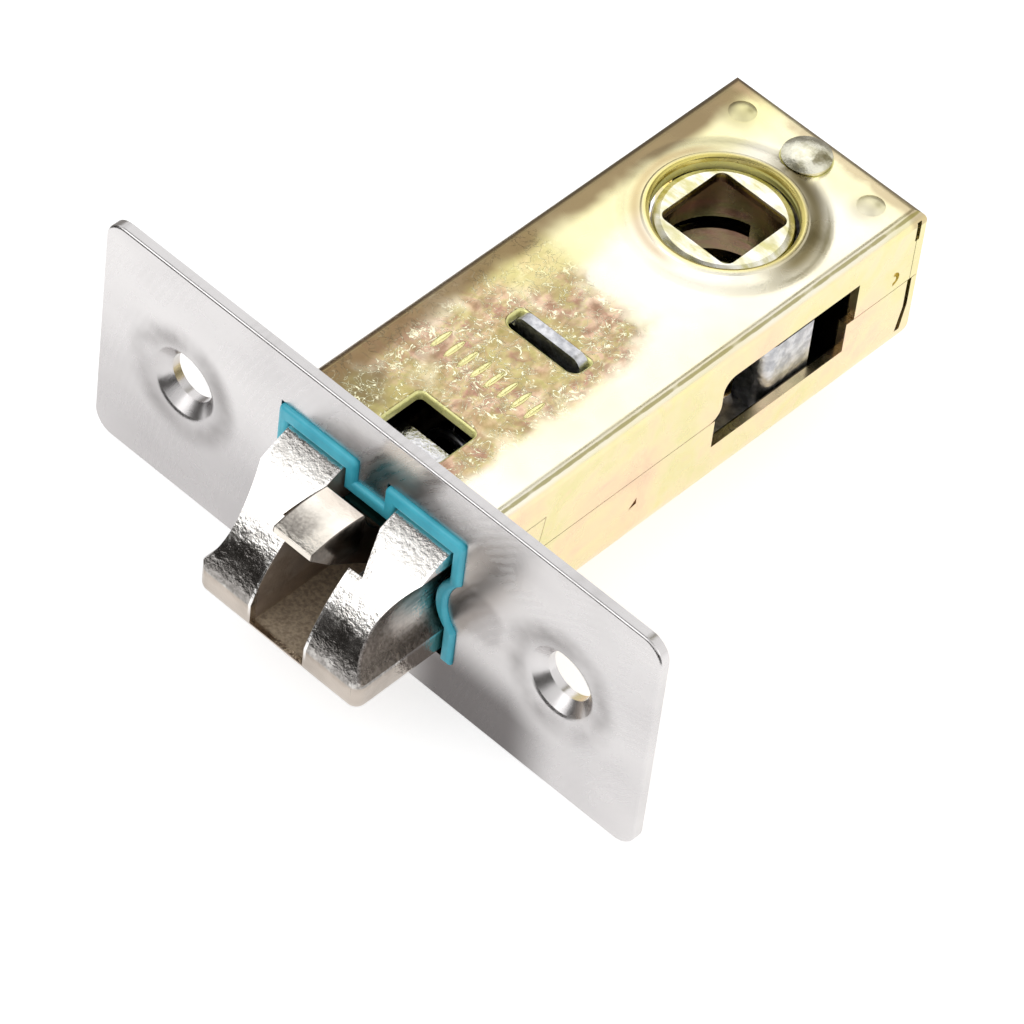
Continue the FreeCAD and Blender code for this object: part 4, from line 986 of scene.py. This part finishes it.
# %% World
WHITE = (1, 1, 1, 1)
WORLD_LIGHT = 0.65
LOOKS = ("Is Camera Ray", "Is Glossy Ray", "Is Transmission Ray")


def seen_directly(tree):
    """Give 1 for the kinds of ray that look at a thing, and 0 for those that only carry its light."""
    paths = tree.nodes.new("ShaderNodeLightPath").outputs
    total = paths[LOOKS[0]]
    for ray in LOOKS[1:]:
        total = calc(tree, "MAXIMUM", total, paths[ray])
    return total


def white_studio():
    world = bpy.data.worlds.new("studio")
    scene.world = world
    world.use_nodes = True
    tree = world.node_tree
    tree.nodes.clear()
    level = add_node(tree, "ShaderNodeMapRange")
    level.inputs["To Min"].default_value = WORLD_LIGHT
    tree.links.new(seen_directly(tree), level.inputs["Value"])
    background = tree.nodes.new("ShaderNodeBackground")
    background.inputs["Color"].default_value = WHITE
    tree.links.new(level.outputs["Result"], background.inputs["Strength"])
    tree.links.new(background.outputs[0], tree.nodes.new("ShaderNodeOutputWorld").inputs["Surface"])
    return world


print("world:", white_studio().name)

# %% Floor
FLOOR_HALF = 1.5
FLOOR_GLOW = 0.62
floor_low = cad_box[0][2]


def stage_piece(name, corners, material):
    """Add a flat stage piece from its corners."""
    mesh = bpy.data.meshes.new(name)
    mesh.from_pydata(corners, [], [tuple(range(len(corners)))])
    mesh.materials.append(material)
    piece = bpy.data.objects.new(name, mesh)
    scene.collection.objects.link(piece)
    return piece


def floor_paint():
    material, tree, shader = new_material("floor_paint", 0.0, roughness=0.9, base_color=(0.8, 0.8, 0.8, 1),
                                          emission_color=WHITE)
    glow = calc(tree, "MULTIPLY", seen_directly(tree), FLOOR_GLOW)
    tree.links.new(glow, shader.inputs["Emission Strength"])
    return material


around = ((-1, -1), (1, -1), (1, 1), (-1, 1))
stage_piece("floor", [(x * FLOOR_HALF, y * FLOOR_HALF, floor_low) for x, y in around], floor_paint())
print("floor at", round(floor_low / MM, 2), "mm")

# %% [markdown]
# ## The studio: lamps
# Three soft boxes give the light its direction. A mirror-like metal sees through a lamp to the white
# room behind it, so the lamp's own brightness is added to the room's, and each is kept low.

# %% Lamps
MIDDLE = (0.0, 0.02, 0.0)


def area_lamp(name, spot, size, strength):
    """Add a soft box that faces the latch; strength is how much it adds in a mirror to the room's 1."""
    data = bpy.data.lights.new(name, "AREA")
    data.shape = "RECTANGLE"
    data.size, data.size_y = size
    data.energy = strength * math.pi * size[0] * size[1]
    lamp = bpy.data.objects.new(name, data)
    lamp.location = spot
    lamp.rotation_euler = (Vector(MIDDLE) - Vector(spot)).to_track_quat("-Z", "Y").to_euler()
    scene.collection.objects.link(lamp)


area_lamp("key", (-0.37, 0.47, 0.68), (0.5, 0.5), 0.45)
area_lamp("front", (-0.38, -0.62, 0.6), (0.5, 0.56), 1.25)
area_lamp("side", (0.6, 0.1, 0.3), (0.3, 0.3), 0.8)

# %% [markdown]
# ## The studio: cards
# In a white room polished metal would look like paper. Photographers stand dark cards round it, so
# that it has something to mirror. These cards are seen in reflections only.

# %% Card paints
def card_paint(name, level, colour=(1, 0.95, 0.9, 1)):
    """Paint a card one even tone, whatever light falls on it."""
    return new_material(name, 0.0, roughness=1.0, base_color=(0, 0, 0, 1), specular_ior_level=0.0,
                        emission_color=colour, emission_strength=level)[0]


def card(name, corners, material):
    """Add a card that only reflections show."""
    piece = stage_piece(name, corners, material)
    piece.visible_camera = False
    piece.visible_diffuse = False
    piece.visible_shadow = False
    piece.visible_transmission = False


DARK, MID = card_paint("dark_card", 0.06), card_paint("mid_card", 0.3)
OLIVE = card_paint("olive_card", 0.24, (1, 0.9, 0.55, 1))
print("paints:", DARK.name, MID.name, OLIVE.name)

# %% Cards
CARD_NEAR, CARD_FAR, CARD_RISE = 0.07, 0.9, 0.3
CARD_COUNT = 16


def horizon_cards():
    """Lay a ring on the floor and stand a low wall at its end: dark in front, open at the rear right."""
    for number in range(CARD_COUNT // 4, CARD_COUNT):
        turns = [2 * math.pi * (number + step) / CARD_COUNT for step in (0, 1)]
        ring = [(math.cos(turn), MIDDLE[1] + math.sin(turn)) for turn in turns]
        low = floor_low + MM
        near, far = ([(x * reach, y * reach, low) for x, y in ring] for reach in (CARD_NEAR, CARD_FAR))
        top = [(x, y, CARD_RISE) for x, y, _ in far]
        paint = DARK if number >= CARD_COUNT // 2 else MID
        card(f"ring_card_{number}", [near[0], far[0], far[1], near[1]], paint)
        card(f"wall_card_{number}", [far[0], top[0], top[1], far[1]], paint)


def sky_card(name, turns, rises, paint):
    """Hang a card a metre away, between two compass angles and two heights in degrees."""
    corners = []
    for side, end in ((0, 0), (1, 0), (1, 1), (0, 1)):
        turn, rise = math.radians(turns[side]), math.radians(rises[end])
        away = math.cos(rise)
        corners.append((away * math.cos(turn), MIDDLE[1] + away * math.sin(turn), math.sin(rise)))
    card(name, corners, paint)


horizon_cards()
card("roof_card", [(-1.4, -0.2, 1.0), (0.6, -0.2, 1.0), (0.6, 0.06, 1.0), (-1.4, 0.06, 1.0)], DARK)
sky_card("right_rear_card", (80, 107), (28, 66), OLIVE)

# %% [markdown]
# ## The camera
# The camera was fitted to the photograph: a long lens, high on the front right, rolled a little
# because the real latch leans on its plate. Its angles are the driving values here, and the matrix is
# built from them.

# %% Camera
CAMERA_AZIMUTH, CAMERA_ELEVATION, CAMERA_ROLL = (math.radians(value) for value in (38.12, 48.32, 7.65))
CAMERA_DISTANCE = 0.5597
CAMERA_TARGET = Vector(mm(2.03, 15.17, -7.36))
CAMERA_LENS = 246.77
CAMERA_SENSOR = 36


def make_camera():
    back = Vector((math.sin(CAMERA_AZIMUTH) * math.cos(CAMERA_ELEVATION),
                   -math.cos(CAMERA_AZIMUTH) * math.cos(CAMERA_ELEVATION), math.sin(CAMERA_ELEVATION)))
    level = Vector((math.cos(CAMERA_AZIMUTH), math.sin(CAMERA_AZIMUTH), 0))
    above = back.cross(level)
    right = math.cos(CAMERA_ROLL) * level + math.sin(CAMERA_ROLL) * above
    up = back.cross(right)
    data = bpy.data.cameras.new("camera")
    data.lens = CAMERA_LENS
    data.sensor_width = CAMERA_SENSOR
    data.clip_start, data.clip_end = 0.01, 10
    camera = bpy.data.objects.new("camera", data)
    turn = Matrix((right, up, back)).transposed().to_4x4()
    camera.matrix_world = Matrix.Translation(CAMERA_TARGET + back * CAMERA_DISTANCE) @ turn
    scene.collection.objects.link(camera)
    scene.camera = camera
    return camera


camera = make_camera()
print("camera at", [round(value / MM, 1) for value in camera.location])
